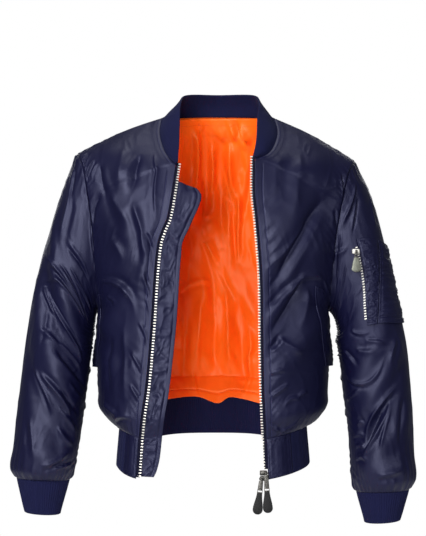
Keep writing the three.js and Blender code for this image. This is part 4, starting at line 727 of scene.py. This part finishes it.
def shell(name, outer, inner, materials, round_=False, step=1):
    """A closed wall between an outer grid of points and an inner one, which may be step times coarser."""
    height, width = outer.shape[:2]
    rows = list(range(0, height - 1, step)) + [height - 1]
    columns = list(range(0, width, step)) if round_ else list(range(0, width - 1, step)) + [width - 1]
    inner = inner[rows][:, columns]
    uv = grid_uv(outer)
    uvs = np.concatenate([uv.reshape(-1, 2), uv[rows][:, columns].reshape(-1, 2)])
    count = height * width

    def quads(high, wide, first):
        i, j = np.meshgrid(np.arange(high - 1), np.arange(wide if round_ else wide - 1), indexing="ij")
        k = (j + 1) % wide
        return np.stack([i * wide + j, i * wide + k, (i + 1) * wide + k, (i + 1) * wide + j], -1).reshape(-1, 4) + first

    outside = quads(height, width, 0)
    inside = quads(len(rows), len(columns), count)[:, ::-1]
    place = lambda i, j: i * width + j % width
    deep_row = lambda i: len(rows) - 1 if i == height - 1 else i // step
    deep_column = lambda j: len(columns) - 1 if (j == width - 1 and not round_) else (j % width) // step
    deep = lambda i, j: count + deep_row(i) * len(columns) + deep_column(j)
    rims = []

    def rim(cells, back):
        for a, b in zip(cells, cells[1:]):
            near, far = deep(*a), deep(*b)
            face = [place(*a), place(*b), near] if near == far else [place(*a), place(*b), far, near]
            rims.append(face if back else face[::-1])

    stop = width + 1 if round_ else width
    rim([(0, j) for j in range(stop)], False)
    rim([(height - 1, j) for j in range(stop)], True)
    if not round_:
        rim([(i, 0) for i in range(height)], True)
        rim([(i, width - 1) for i in range(height)], False)
    across, up = outer[:-1, 1:] - outer[:-1, :-1], outer[1:, :-1] - outer[:-1, :-1]
    full = np.zeros_like(outer)
    full[:] = outer - surface_of(inner, rows, columns, outer.shape, round_)
    turned = (np.cross(across, up) * full[:-1, :-1]).sum() < 0
    faces = outside.tolist() + inside.tolist() + rims
    if turned:
        faces = [face[::-1] for face in faces]
    picks = [0] * len(outside) + [1] * len(inside) + [0] * len(rims)
    points = np.concatenate([outer.reshape(-1, 3), inner.reshape(-1, 3)])
    return mesh_piece(name, points, faces, uvs, materials, picks if len(materials) > 1 else None)


def surface_of(inner, rows, columns, shape, round_):
    """The coarse inner grid read at every outer point, by its nearest row and column."""
    i = np.clip(np.searchsorted(rows, np.arange(shape[0])), 0, len(rows) - 1)
    j = np.clip(np.searchsorted(columns, np.arange(shape[1])), 0, len(columns) - 1)
    return inner[i][:, j]


def lowest(values, reach, round_=False):
    """The lowest of each value and its neighbours."""
    for axis in (0, 1):
        pads = [(reach, reach) if k == axis else (0, 0) for k in range(2)]
        mode = "wrap" if round_ and axis == 1 else "edge"
        padded = np.pad(values, pads, mode)
        parts = [np.take(padded, range(k, k + values.shape[axis]), axis) for k in range(2 * reach + 1)]
        values = np.minimum.reduce(parts)
    return values


def cloth_panel(name, panel, u, v, node, materials=(NYLON, ORANGE), wall=NYLON_WALL, lift=0, share=1, round_=False):
    normal = panel.normal(u, v)
    form = panel.form(u, v)
    raised = panel.relief(u, v) * share + lift
    outer = form + normal * raised[..., None]
    step = 3 if outer.shape[0] > 150 else 1
    deep = np.minimum(lowest(raised, 3, round_), raised) if step > 1 else raised
    inner = form + normal * (deep - wall)[..., None]
    for edge in ((0, 1), (-1, -2)) if step > 1 else ():
        inner[edge[0]] = outer[edge[0]] - normal[edge[0]] * 0.3
        if not round_:
            inner[:, edge[0]] = outer[:, edge[0]] - normal[:, edge[0]] * (wall if edge[0] == 0 and "front" in name else 0.3)
    piece = shell(name, outer, inner, materials, round_, step)
    if node:
        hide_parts(node)
    return piece, outer


def edge_columns(side, v, count):
    """Columns of a front: close together along the zip, at fixed distances from it."""
    near = np.array([0, 0.8, 1.8, 3, 5, 7.5, 10, 11.4, 12.4, 13, 13.6, 14.6, 16])
    wide = FRONT_WIDE[side](v)[:, None]
    rest = np.linspace(0, 1, count)[1:]
    return np.concatenate([near / wide, mix(16 / wide, 1, rest)], 1)


outers = {}
for side in ("right", "left"):
    v = np.linspace(0, 1, 230)
    v = np.concatenate([[0, 0.0015, 0.003], v[1:-1], [0.998, 1]])
    u = edge_columns(side, v, 96)
    vv = np.broadcast_to(v[:, None], u.shape)
    piece, outers[side] = cloth_panel(f"front_{side}_nylon", PANELS[f"front_{side}"], u, vv, f"front_{side}")

v = np.concatenate([[0, 0.0015, 0.003], np.linspace(0, 1, 215)[1:-1], [0.998, 1]])
u, vv = np.meshgrid(np.linspace(-1, 1, 260), v)
back_piece, back_outer = cloth_panel("back_nylon", PANELS["back"], u, vv, "back")

for side in ("right", "left"):
    t = np.concatenate([[0, 0.002, 0.004], np.linspace(0, 1, 220)[1:-1], [0.996, 1]])
    a, tt = np.meshgrid(np.linspace(-180, 180, 241)[:-1], t)
    piece, outers[f"sleeve_{side}"] = cloth_panel(
        f"sleeve_{side}_nylon", PANELS[f"sleeve_{side}"], a, tt, f"sleeve_{side}", round_=True
    )


# Rib knit: its ribs run from the seam to the free edge
def knit(name, grid, node, pitch, rise, wall, round_=False):
    """grid is a coarse form of rows from seam to edge, divided here into ribs on both faces."""
    middle = grid[len(grid) // 2]
    ring = np.concatenate([middle, middle[:1]]) if round_ else middle
    along = np.concatenate([[0], np.cumsum(np.linalg.norm(np.diff(ring, axis=0), axis=-1))])
    ribs = round(along[-1] / pitch)
    steps = ribs * 5
    s = np.linspace(0, along[-1], steps + 1)
    if round_:
        s = s[:-1]
        grid = np.concatenate([grid, grid[:, :1]], 1)
    rows = np.stack([[np.interp(s, along, row[:, c]) for c in range(3)] for row in grid]).transpose(0, 2, 1)
    normals = surface_normals(rows, round_)
    away = rows - rows.mean((0, 1))
    away[..., 2] = 0
    if (normals * away).sum() < 0:
        normals = -normals
    wave = rise * np.cos(s / along[-1] * ribs * math.tau)[None, :, None]
    down = np.linspace(0, 1, len(rows))[:, None]
    slack = 0.5 * rumple(s[None, :] / 26, down * 3, 41)[..., None]
    edge = np.minimum(down, 1 - down)
    thin = 1 - 0.75 * np.exp(-((edge / 0.03) ** 2))[..., None]
    outer = rows + normals * ((wave + slack) * thin - (1 - thin) * wall * 0.35)
    reach = 1.1 * np.exp(-((down / 0.1) ** 2)) if node == "collar" else -0.9 * np.exp(-((down / 0.04) ** 2))
    outer = outer + normals * reach[..., None]
    inner = rows + normals * ((slack - wave) * thin - wall * mix(0.65, 1, thin))
    piece = shell(name, outer, inner, (RIB,), round_)
    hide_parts(node)
    return piece, rows


rows_of_band = np.array([-0.03, 0.015, 0.05, 0.1, 0.2, 0.3, 0.4, 0.5, 0.6, 0.7, 0.8, 0.9, 0.95, 0.98, 1])
neck_v = np.linspace(ZIP_TOP, 1, 40)
neck_u = np.linspace(-NECK_SHARE, NECK_SHARE, 60)[1:-1]
seam = np.concatenate(
    [
        front_edge("right", neck_v),
        back_point(neck_u, np.ones_like(neck_u)),
        front_edge("left", neck_v[::-1]),
    ]
)
seam_at = np.concatenate(
    [np.linspace(0, 5 / 18, 40), np.linspace(5 / 18, 13 / 18, 60)[1:-1], np.linspace(13 / 18, 1, 40)]
)
edge = splines(COLLAR_EDGE, seam_at)
outward = unit((seam - (4, 0, 0)) * (1, 1, 0))
collar = np.stack(
    [mix(seam, edge, w) + outward * COLLAR_BULGE * math.sin(math.pi * w) for w in [-0.1, *rows_of_band]]
)
collar_piece, collar_rows = knit("collar_rib", collar, "collar", 3.2, 0.16, 2.8)

HEM_END = 3 / 8
u_side = np.linspace(HEM_END, 1, 40)
u_back = np.linspace(-1, 1, 160)[1:-1]
hem_seam = np.concatenate(
    [
        front_point("right", u_side, np.zeros(40)),
        back_point(u_back, np.zeros(158)),
        front_point("left", u_side[::-1], np.zeros(40)),
    ]
)
band = np.stack([hem_band(hem_seam, w) for w in rows_of_band])
hem_piece, hem_rows = knit("hem_rib_knit", band, "hem_rib", 3.6, 0.25, 2.8)

for side in ("right", "left"):
    angles = np.linspace(-180, 180, 121)[:-1]
    top = sleeve_point(side, angles, np.ones(120))
    low = sleeve_ring(CUFF_END, side, angles)
    cuff = np.stack([mix(top, low, w) for w in rows_of_band])
    piece, _ = knit(f"cuff_{side}_rib", cuff, f"cuff_{side}", 4.0, 0.5, 2.8, True)

    u = np.linspace(0, HEM_END, 46)
    end_seam = front_point(side, u, np.zeros(46))
    w = np.concatenate([[0, 0.01, 0.03], np.linspace(0.06, 0.94, 30), [0.97, 0.99, 1]])
    block = np.stack([hem_band(end_seam, x) for x in w])
    n = surface_normals(block)
    n = n if (n[..., 1].mean() < 0) else -n
    uu, ww = np.meshgrid(u, w)
    far = np.minimum(np.minimum(ww, 1 - ww) * 70, np.minimum(uu, HEM_END - uu) * 165)
    lift = 0.9 * rumple(uu * 20, ww * 3.2, 51) + puckers(far, uu * 165 + ww * 70, 9, 12, 0.8, 0.3, 53)
    lift = lift * smooth(far / 4) + puff(far, 2.0, 1.0) + groove(far, 6, 1.2, 0.7)
    outer = block + n * lift[..., None]
    piece = shell(f"hem_end_{side}_nylon", outer, outer - n * 1.8, (NYLON,))
    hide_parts(f"hem_end_{side}")


# Lining of the back
HEM_WAVE = table(
    "at drop", (-200, 3), (-84, 1), (-45, 0), (-28, 2), (-2, 12), (8, 12), (24, 2), (43, 3), (84, 9), (200, 4)
)


LINING_FOOT = 0.09
HEM_ROWS = 30
HEM_SEAM_ROW = 11


def lining_relief(u, v):
    """How far the lining hangs off its even surface. It may rise less than it may sink."""
    lift = creases("lining", "lining", u, v) * smooth((1 - v) / 0.05)
    calm = smooth((1 - v) / 0.08) * mix(0.25, 1, smooth((v - LINING_FOOT) / 0.08))
    lift = 1.7 * lift + 7 * (crumple(u * 7 + v * 4.5, v * 4 - u * 2, 71) - 0.9) * calm
    lift = lift + 3.2 * (crumple(u * 13 + v * 8, v * 9 - u * 3, 63) - 0.6) * calm
    lift = lift + 0.7 * crumple(u * 30, v * 24, 65)
    below = np.maximum(1 - v, 0) * SPAN["lining"][1]
    gathers = puckers(below, u * SPAN["lining"][0], 17, 34, 3.0, 0.35, 67)
    above = (v - LINING_FOOT) * SPAN["lining"][1]
    pleats = puckers(np.maximum(above, 0), u * SPAN["lining"][0], 23, 40, 3.4, -0.3, 69)
    lift = lift + gathers + pleats
    return np.where(lift > 0, 4 * np.tanh(lift / 4), lift)


def lining_grid(lift):
    v = np.linspace(LINING_FOOT, 0.995, 150)
    u, vv = np.meshgrid(np.linspace(-0.965, 0.965, 200), v)
    n = PANELS["back"].normal(u, vv)
    body = back_point(u, vv) - n * (8.2 + lift - lining_relief(u, vv)[..., None])
    low = back_point(u[0], np.zeros(200))
    inside = low * (0.95, 0.95, 1) - (0, 5.5, 0)
    rows = []
    for z in np.linspace(0, 1, HEM_ROWS + 1)[:-1]:
        hang = inside + np.array([0, 0, -1.0])
        hang[:, 2] -= spline(HEM_WAVE, "drop", inside[:, 0])
        hang[:, 1] += 1.2 * np.sin(inside[:, 0] / 9)
        start = mix(hang, body[0], z)
        bulge = math.sin(math.pi * z) * (1.2 + 2.2 * crumple(inside[:, 0] / 26, z * 1.3 + 0 * inside[:, 0], 75))
        start[:, 1] -= bulge - 2.4 * math.exp(-(((z - HEM_SEAM_ROW / HEM_ROWS) / 0.045) ** 2))
        rows.append(start + np.array([0, lift, 0]) * (-1 if lift else 0))
    return np.concatenate([np.stack(rows), body])


lining_face = lining_grid(2)
lining_piece = shell("back_lining_nylon", lining_face, lining_grid(0), (ORANGE,), step=2)
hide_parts("back_lining")


# Zips, and the flap behind the right one
def zip_line(side, at):
    at = np.asarray(at, float)
    past = np.maximum(at - ZIP_TOP, 0)[..., None]
    slope = (front_edge(side, ZIP_TOP) - front_edge(side, ZIP_TOP - 0.02)) / 0.02
    up = front_edge(side, np.clip(at, 0, ZIP_TOP)) + past * slope
    low = hem_band(front_edge(side, np.zeros_like(at)), -at)
    return np.where((at < 0)[..., None], low, up)


def past_edge(side, at, reach, back):
    at, reach = np.asarray(at, float), np.asarray(reach, float)
    ahead = zip_line(side, np.minimum(at + 0.02, ZIP_TOP))
    along = unit(ahead - zip_line(side, np.minimum(at + 0.02, ZIP_TOP) - 0.03))
    inward = np.broadcast_to(np.array([-sign(side), 0.0, 0.0]), along.shape)
    across = unit(inward - along * (inward * along).sum(-1, keepdims=True))
    behind = unit(np.cross(across, along))
    behind = np.where(behind[..., 1:2] < 0, -behind, behind)
    return zip_line(side, at) + across * reach[..., None] + behind * np.asarray(back, float)[..., None]


ZIP_FOOT = {"right": -0.96, "left": -0.74}
TAPE_SHOWN = 6.2
for side in ("right", "left"):
    at = np.linspace(ZIP_FOOT[side], ZIP_TOP + 0.007, 160)
    reach, aa = np.meshgrid(np.linspace(0, TAPE_SHOWN, 6), at)
    outer = past_edge(side, aa, reach, 0.6)
    inner = past_edge(side, aa, reach, 1.8)
    piece = shell(f"zip_tape_{side}_woven", outer, inner, (TAPE,))
    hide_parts(f"zip_tape_{side}")

at = np.concatenate([np.linspace(-0.94, 0.66, 330), [0.675, 0.685, 0.692, 0.698, 0.702, 0.705]])
s, aa = np.meshgrid(np.linspace(0, 1, 44), at)
reach = mix(spline(STORM_FLAP, "from", aa), spline(STORM_FLAP, "reach", aa), s)
edge_away = (1 - s) * spline(STORM_FLAP, "reach", aa)
aa = aa + 0.014 * (1 - s) * smooth((aa - 0.62) / 0.08)
length = np.where(aa < 0, aa * 74, aa * 560)
lift = 2.0 * rumple(s * 2, length / 45, 73) + 2.4 * crumple(s * 2.4 + length / 40, length / 17, 71)
lift = lift + 1.2 * crumple(s * 5 - length / 30, length / 8.5, 77)
lift = lift * smooth((edge_away - 5) / 6) + puckers(edge_away, length, 8, 8, 1.0, 0.5, 75)
lift = (lift + groove(edge_away, 6.5, 1.1, 0.8)) * smooth(reach / 6)
back_by = STORM_SET_BACK + 1 + 0.08 * (reach - 0.8) - 0.7 * lift
outer = past_edge("right", aa, reach, back_by)
inner = past_edge("right", aa, reach, back_by + 1.8)
piece = shell("storm_flap_nylon", outer, inner, (NYLON, ORANGE))
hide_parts("storm_flap")

# Pocket flaps
for side in ("right", "left"):
    at, s = np.linspace(0, 1, 70), np.linspace(0, 1, 26)
    ss, aa = np.meshgrid(s, at)
    inner_u, outer_u, up, rise = (spline(POCKET_FLAP[side], c, aa) for c in ("inner", "outer", "up", "lift"))
    u = mix(inner_u, outer_u, ss)
    far = np.minimum(np.minimum(ss, 1 - ss) * 40, np.minimum(aa, 1 - aa) * 160)
    lift = 2.2 + rise * ss * ss + groove(far, 5, 1.2, 0.7) + 0.8 * rumple(ss * 4, aa * 9, 81)
    lift = lift + puckers(far, aa * 160, 11, 9, 0.6, 0.3, 83)
    piece, _ = cloth_panel(
        f"pocket_flap_{side}_nylon", PANELS[f"front_{side}"], u, up, f"pocket_flap_{side}", (NYLON,), 1.8, lift, 1
    )


# Sleeve pocket
def pocket_place(s, w):
    top_turn, top_at, foot_turn, foot_at = (
        spline(SLEEVE_POCKET, c, s) for c in ("topTurn", "topAt", "footTurn", "footAt")
    )
    return mix(top_turn, foot_turn, w), mix(top_at, foot_at, w)


sleeve = PANELS["sleeve_left"]
for name, node, low, high, across, down, bulge in (
    ("sleeve_pocket_nylon", "sleeve_pocket", 0.05, 0.4, 44, 170, 0.8),
    ("pen_pocket_nylon", "pen_pocket", 0.412, 1, 70, 190, 1.5),
):
    s, w = np.meshgrid(np.linspace(low, high, across), np.linspace(-0.06, 1.04, down))
    part = (s - low) / (high - low)
    far = np.minimum(np.minimum(part, 1 - part) * 60, np.minimum(w + 0.06, 1.04 - w) * 140)
    strong = 0.7 if node == "pen_pocket" else 0.65
    rough = 0.9 * crumple(part * 1.7 + w * 3, w * 13, 91) + 1.3 * crumple(part * 3.5 - w * 5, w * 21, 95)
    rough = rough + 0.5 * crumple(part * 6 + w * 4, w * 36, 97)
    lift = 3.4 + bulge * np.sin(np.pi * part) + groove(far, 4, 1.2, 0.6) + strong * rough * smooth(far / 7)
    a, t = pocket_place(s, w)
    piece, _ = cloth_panel(name, sleeve, a, t, node, (NYLON,), 1.8, lift, 0.5)


# Zip teeth: one tooth, and its copies along each chain
def tooth_mesh():
    bpy.ops.object.select_all(action="DESELECT")
    bpy.ops.mesh.primitive_cube_add(size=1)
    tooth = bpy.context.object
    bpy.ops.object.mode_set(mode="EDIT")
    bpy.ops.mesh.select_all(action="SELECT")
    bpy.ops.transform.resize(value=(4.4, 2.4, 2.0))
    bpy.ops.mesh.bevel(offset=0.35, segments=1, affect="EDGES")
    bpy.ops.object.mode_set(mode="OBJECT")
    points = np.array([v.co for v in tooth.data.vertices])
    faces = [list(f.vertices) for f in tooth.data.polygons]
    bpy.data.objects.remove(tooth)
    return points, faces


TOOTH_POINTS, TOOTH_FACES = tooth_mesh()


def chain(name, path, across, front, pitch, node, scale=1):
    lengths = np.concatenate([[0], np.cumsum(np.linalg.norm(np.diff(path, axis=0), axis=-1))])
    stops = np.arange(pitch / 2, lengths[-1], pitch)
    pick = lambda values: np.stack([np.interp(stops, lengths, values[:, c]) for c in range(3)], -1)
    centre, x, y = pick(path), unit(pick(across)), unit(pick(front))
    z = unit(np.cross(x, y))
    local = TOOTH_POINTS * scale
    points = centre[:, None] + local[None, :, :1] * x[:, None] - local[None, :, 1:2] * y[:, None]
    points = points + local[None, :, 2:] * z[:, None]
    size = len(TOOTH_POINTS)
    faces = [[k * size + i for i in face] for k in range(len(stops)) for face in TOOTH_FACES]
    points = points.reshape(-1, 3)
    piece = mesh_piece(name, points, faces, points[:, :2], (SILVER,), soft=False)
    bpy.ops.object.select_all(action="DESELECT")
    piece.select_set(True)
    bpy.context.view_layer.objects.active = piece
    bpy.ops.object.mode_set(mode="EDIT")
    bpy.ops.mesh.select_all(action="SELECT")
    bpy.ops.mesh.normals_make_consistent(inside=False)
    bpy.ops.object.mode_set(mode="OBJECT")
    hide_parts(node)
    return piece


for side in ("right", "left"):
    at = np.linspace(ZIP_FOOT[side], ZIP_TOP + 0.006, 400)
    path = past_edge(side, at, np.full(400, 6.4), 0.8)
    across = past_edge(side, at, np.full(400, 7.4), 0.8) - path
    front = past_edge(side, at, np.full(400, 6.4), -0.2) - path
    chain(f"zip_teeth_{side}_chain", path, across, front, 5.0, f"zip_teeth_{side}")

w = np.linspace(0.02, 0.96, 120)
a, t = pocket_place(np.full(120, 0.012), w)
path = sleeve.at(a, t, 2.4, 0.5)
a2, t2 = pocket_place(np.full(120, 0.03), w)
across = sleeve.at(a2, t2, 2.4, 0.5) - path
front = sleeve.normal(a, t)
chain("sleeve_zip_chain", path, across, front, 4.7, "sleeve_zip")


# Stitches: short raised threads along a seam
def stitches(name, path, normals, made=THREAD, pitch=3.6, length=2.5, thick=0.4):
    lengths = np.concatenate([[0], np.cumsum(np.linalg.norm(np.diff(path, axis=0), axis=-1))])
    stops = np.arange(pitch / 2, lengths[-1] - pitch / 2, pitch)
    pick = lambda values, at: np.stack([np.interp(at, lengths, values[:, c]) for c in range(3)], -1)
    start, end = pick(path, stops - length / 2), pick(path, stops + length / 2)
    n = unit(pick(normals, stops))
    along = unit(end - start)
    side = unit(np.cross(along, n))
    middle = (start + end) / 2
    ring = []
    for centre, size in ((start, 0.35), (middle, 1), (end, 0.35)):
        for across, up in ((1, 0), (0, 1), (-1, 0), (0, -1)):
            ring.append(centre + side * (across * thick * size) + n * (up * thick * size + 0.1))
    points = np.stack(ring, 1)
    faces = []
    one = [[3, 2, 1, 0], [8, 9, 10, 11]]
    for level in (0, 4):
        for k in range(4):
            m = (k + 1) % 4
            one.append([level + k, level + m, level + 4 + m, level + 4 + k])
    for k in range(len(stops)):
        faces += [[12 * k + i for i in face] for face in one]
    points = points.reshape(-1, 3)
    piece = mesh_piece(name, points, faces, points[:, :2], (made,))
    return piece


for side in ("right", "left"):
    panel = PANELS[f"front_{side}"]
    v = np.linspace(0.004, ZIP_TOP - 0.02, 300)
    for line, away in (("edge", 3), ("facing", 13)):
        u = away / FRONT_WIDE[side](v)
        stitches(f"front_{side}_{line}_stitches", panel.at(u, v, 0.1), panel.normal(u, v))
    v = np.linspace(ZIP_TOP + 0.01, 0.995, 120)
    u = 4.4 / FRONT_WIDE[side](v)
    stitches(f"neck_{side}_stitches", panel.at(u, v, 0.1), panel.normal(u, v))

hem_seam = lining_face[HEM_SEAM_ROW]
stitches("lining_hem_stitches", hem_seam, np.tile((0.0, -1.0, 0.0), (200, 1)), ORANGE_THREAD)
neck_seam = lining_face[-5][66:134]
behind = PANELS["back"].normal(np.linspace(-0.325, 0.325, 68), np.full(68, 0.97))
stitches("lining_neck_stitches", neck_seam, -behind, ORANGE_THREAD)

# Sliders and their pulls, each shaped on its own eye and then put in its place
HINGES = {joint["name"]: joint for joint in frame["joints"]}
EYE_TO_SLIDER = 7.7


def edit(step, **settings):
    bpy.ops.object.mode_set(mode="EDIT")
    bpy.ops.mesh.select_all(action="SELECT")
    step(**settings)
    bpy.ops.object.mode_set(mode="OBJECT")


def rounded_block(size, at, bevel, segments=3):
    bpy.ops.object.select_all(action="DESELECT")
    bpy.ops.mesh.primitive_cube_add(size=1, location=at)
    edit(bpy.ops.transform.resize, value=size)
    edit(bpy.ops.mesh.bevel, offset=bevel, segments=segments, affect="EDGES")
    return bpy.context.object


def rod(radius, length, at):
    bpy.ops.object.select_all(action="DESELECT")
    bpy.ops.mesh.primitive_cylinder_add(
        vertices=20, radius=radius, depth=length, location=at, rotation=(0, math.pi / 2, 0)
    )
    return bpy.context.object


def eye_ring(width):
    bpy.ops.object.select_all(action="DESELECT")
    bpy.ops.mesh.primitive_torus_add(
        major_segments=24, minor_segments=10, major_radius=2.15, minor_radius=0.5, rotation=(0, math.pi / 2, 0)
    )
    bpy.ops.object.transform_apply(location=True, rotation=True, scale=True)
    edit(bpy.ops.transform.resize, value=(width, 1, 1))
    return bpy.context.object


def select_level(piece, z):
    for vertex in piece.data.vertices:
        vertex.select = abs(vertex.co.z - z) < 0.01


def tapered(levels, thick, bevel, slot=None):
    """A flat shape cut across at each level and drawn out to its width there. Levels are (z, width)."""
    top, foot = levels[0][0], levels[-1][0]
    bpy.ops.object.select_all(action="DESELECT")
    bpy.ops.mesh.primitive_cube_add(size=1)
    piece = bpy.context.object
    edit(bpy.ops.transform.resize, value=(1, thick, top - foot))
    edit(bpy.ops.transform.translate, value=(0, 0, (top + foot) / 2))
    for z, _ in levels[1:-1]:
        edit(bpy.ops.mesh.bisect, plane_co=(0, 0, z), plane_no=(0, 0, 1))
    for z, width in levels:
        bpy.ops.object.mode_set(mode="EDIT")
        bpy.ops.mesh.select_all(action="DESELECT")
        bpy.ops.object.mode_set(mode="OBJECT")
        select_level(piece, z)
        bpy.ops.object.mode_set(mode="EDIT")
        bpy.ops.transform.resize(value=(width, 1, 1))
        bpy.ops.object.mode_set(mode="OBJECT")
    if slot:
        bpy.ops.object.mode_set(mode="EDIT")
        bpy.ops.mesh.select_all(action="DESELECT")
        bpy.ops.mesh.select_mode(type="FACE")
        bpy.ops.object.mode_set(mode="OBJECT")
        for face in piece.data.polygons:
            face.select = abs(face.normal.y) > 0.9 and slot[1] < face.center.z < slot[0]
        bpy.ops.object.mode_set(mode="EDIT")
        bpy.ops.mesh.inset(thickness=slot[2])
        bpy.ops.mesh.bridge_edge_loops()
        bpy.ops.mesh.select_mode(type="VERT")
        bpy.ops.object.mode_set(mode="OBJECT")
    bpy.ops.object.modifier_add(type="BEVEL")
    rounding = piece.modifiers[-1]
    rounding.width, rounding.segments = bevel, 3
    rounding.limit_method, rounding.angle_limit = "ANGLE", math.radians(38)
    bpy.ops.object.modifier_apply(modifier=rounding.name)
    return piece


def drop(top, length, neck, belly, thick):
    levels = []
    for t in (0, 0.04, 0.12, 0.24, 0.38, 0.52, 0.66, 0.78, 0.83, 0.88, 0.92, 0.95, 0.975, 0.99, 1):
        round_end = math.sqrt(max(1 - (max(t - 0.78, 0) / 0.225) ** 2, 0))
        width = mix(neck, belly, float(smooth(t / 0.78))) * (round_end if t > 0.78 else 1)
        levels.append((top - t * length, width if t else neck - 1.2))
    return tapered(levels, thick, 0.7)


def hard_piece(name, parts, hinge, leans, made, node, body):
    """Joins the parts, and moves them from an eye at the middle of the frame to the eye of this hinge."""
    bpy.ops.object.select_all(action="DESELECT")
    for part in parts:
        part.select_set(True)
    bpy.context.view_layer.objects.active = parts[0]
    bpy.ops.object.transform_apply(location=True, rotation=True, scale=True)
    bpy.ops.object.join()
    piece = bpy.context.object
    piece.name = name
    x = -unit(np.array(HINGES[hinge]["axis"])) if leans else np.array([1.0, 0, 0])
    upright = np.array([0, 0, 1.0]) if abs(x[1]) > 0.01 or not leans else np.array([-x[2], 0, x[0]])
    turn = np.stack([x, np.cross(upright, x), upright], 1)
    points = np.array([vertex.co for vertex in piece.data.vertices]) * 0.001
    points = points @ turn.T + np.array(HINGES[hinge]["pos_m"])
    piece.data.vertices.foreach_set("co", points.ravel())
    piece.data.materials.clear()
    piece.data.materials.append(made)
    bpy.ops.object.shade_smooth_by_angle(angle=math.radians(38))
    piece.data.update()
    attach(piece, body)
    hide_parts(node)


def slider(name, eye_x, hinge, leans, made):
    parts = [
        rounded_block((13, 3.4, 8.6), (-eye_x, EYE_TO_SLIDER - 2.6, 0), 1.6),
        rounded_block((12.4, 2.4, 8), (-eye_x, EYE_TO_SLIDER + 2.2, 0), 1.1),
        rounded_block((3.4, 4, 5), (-eye_x, EYE_TO_SLIDER, 0), 0.6, 1),
        rod(1.05, 7.2, (0, 0, 0)),
    ]
    for side_x in (-3.1, 3.1):
        parts.append(rounded_block((1.3, 5.6, 3.4), (side_x, 2.1, 0), 0.5, 2))
    hard_piece(f"{name}_body", parts, hinge, leans, made, name, "jacket")


def pull(which, link, grip_metal, body, neck, belly, thick):
    hinge = f"{which}_hinge"
    slot_top = -link - (0.6 if which != "sleeve_pull" else -2.5)
    slot_foot = slot_top - 4.4
    wide = 8.6 if which != "sleeve_pull" else 5.4
    levels = [(-2.2, 5), (-4.5, wide - 1.2), (slot_top + 3, wide), (slot_top, wide + 0.5), (slot_foot, wide + 0.8),
              (slot_foot - 2.2, wide + 0.6)]
    plate = tapered(levels, 1.7, 0.35, (slot_top, slot_foot, 0.9))
    stem = which.replace("_pull", "")
    link_node = "sleeve_pull_link" if stem == "sleeve" else f"pull_link_{stem}"
    tab_node = "sleeve_pull_tab" if stem == "sleeve" else f"pull_tab_{stem}"
    hard_piece(f"{link_node}_plate", [plate, eye_ring(4)], hinge, True, GUNMETAL, link_node, body)
    grip = drop(slot_foot - 0.9, 37 if stem != "sleeve" else 25.5, neck, belly, thick)
    hard_piece(f"{tab_node}_grip", [grip], hinge, True, grip_metal, tab_node, body)


slider("slider_upper", 4.2, "upper_pull_hinge", False, GUNMETAL)
slider("slider_lower", -4.2, "lower_pull_hinge", False, GUNMETAL)
slider("sleeve_slider", 0, "sleeve_pull_hinge", True, SILVER)
pull("upper_pull", 25.4, RUBBER, "upper_pull", 9.2, 17.2, 3.2)
pull("lower_pull", 18.8, RUBBER, "lower_pull", 9.2, 17.2, 3.2)
pull("sleeve_pull", 8, BRUSHED, "sleeve_pull", 9, 16.4, 2.4)

# Floor, lights and camera
bpy.ops.object.select_all(action="DESELECT")
bpy.ops.mesh.primitive_circle_add(vertices=128, radius=0.92, fill_type="NGON", location=(0, 0, -0.9))
floor = bpy.context.object
floor.name = "floor"
pale = bpy.data.materials.new("pale_floor")
pale.use_nodes = True
pale.node_tree.nodes["Principled BSDF"].inputs["Base Color"].default_value = (0.9, 0.9, 0.9, 1)
pale.node_tree.nodes["Principled BSDF"].inputs["Roughness"].default_value = 1
floor.data.materials.append(pale)

world = bpy.data.worlds.new("studio")
bpy.context.scene.world = world
world.use_nodes = True
tree = world.node_tree
soft_sky = tree.nodes["Background"]
soft_sky.inputs["Color"].default_value = (0.86, 0.88, 1, 1)
soft_sky.inputs["Strength"].default_value = 0.15
white = tree.nodes.new("ShaderNodeBackground")
white.inputs["Color"].default_value = (1, 1, 1, 1)
white.inputs["Strength"].default_value = 1
ray = tree.nodes.new("ShaderNodeLightPath")
either = tree.nodes.new("ShaderNodeMixShader")
tree.links.new(ray.outputs["Is Camera Ray"], either.inputs[0])
tree.links.new(soft_sky.outputs[0], either.inputs[1])
tree.links.new(white.outputs[0], either.inputs[2])
tree.links.new(either.outputs[0], tree.nodes["World Output"].inputs["Surface"])


def area_light(name, at, size, power):
    lamp = bpy.data.lights.new(name, "AREA")
    lamp.shape = "RECTANGLE"
    lamp.size, lamp.size_y = size
    lamp.energy = power
    made = bpy.data.objects.new(name, lamp)
    made.location = at
    aim = np.array([0, 0, -0.3]) - np.array(at)
    made.rotation_euler = (math.atan2(math.hypot(aim[0], aim[1]), -aim[2]), 0, math.atan2(aim[0], -aim[1]) + math.pi)
    bpy.context.collection.objects.link(made)


area_light("key", (-1.5, -2.3, 1.3), (0.9, 0.9), 76)
area_light("front", (-0.5, -3.2, -0.15), (0.8, 0.8), 60)
area_light("fill", (1.7, -2.4, 0.5), (0.7, 1.4), 18)
area_light("top", (0, 0.4, 2.4), (1.4, 1.4), 20)
area_light("back_left", (1.0, 3.4, 0.9), (1.4, 1.4), 16)
area_light("back_right", (-1.0, 3.4, 0.5), (1.4, 1.4), 16)

camera = bpy.data.cameras.new("camera")
camera.lens = 119.4
camera.sensor_width = 36
eye = bpy.data.objects.new("camera", camera)
eye.location = (-0.0054, -3.2, -0.275)
eye.rotation_euler = (math.pi / 2, 0, 0)
bpy.context.collection.objects.link(eye)
bpy.context.scene.camera = eye
bpy.context.scene.view_settings.view_transform = "Standard"
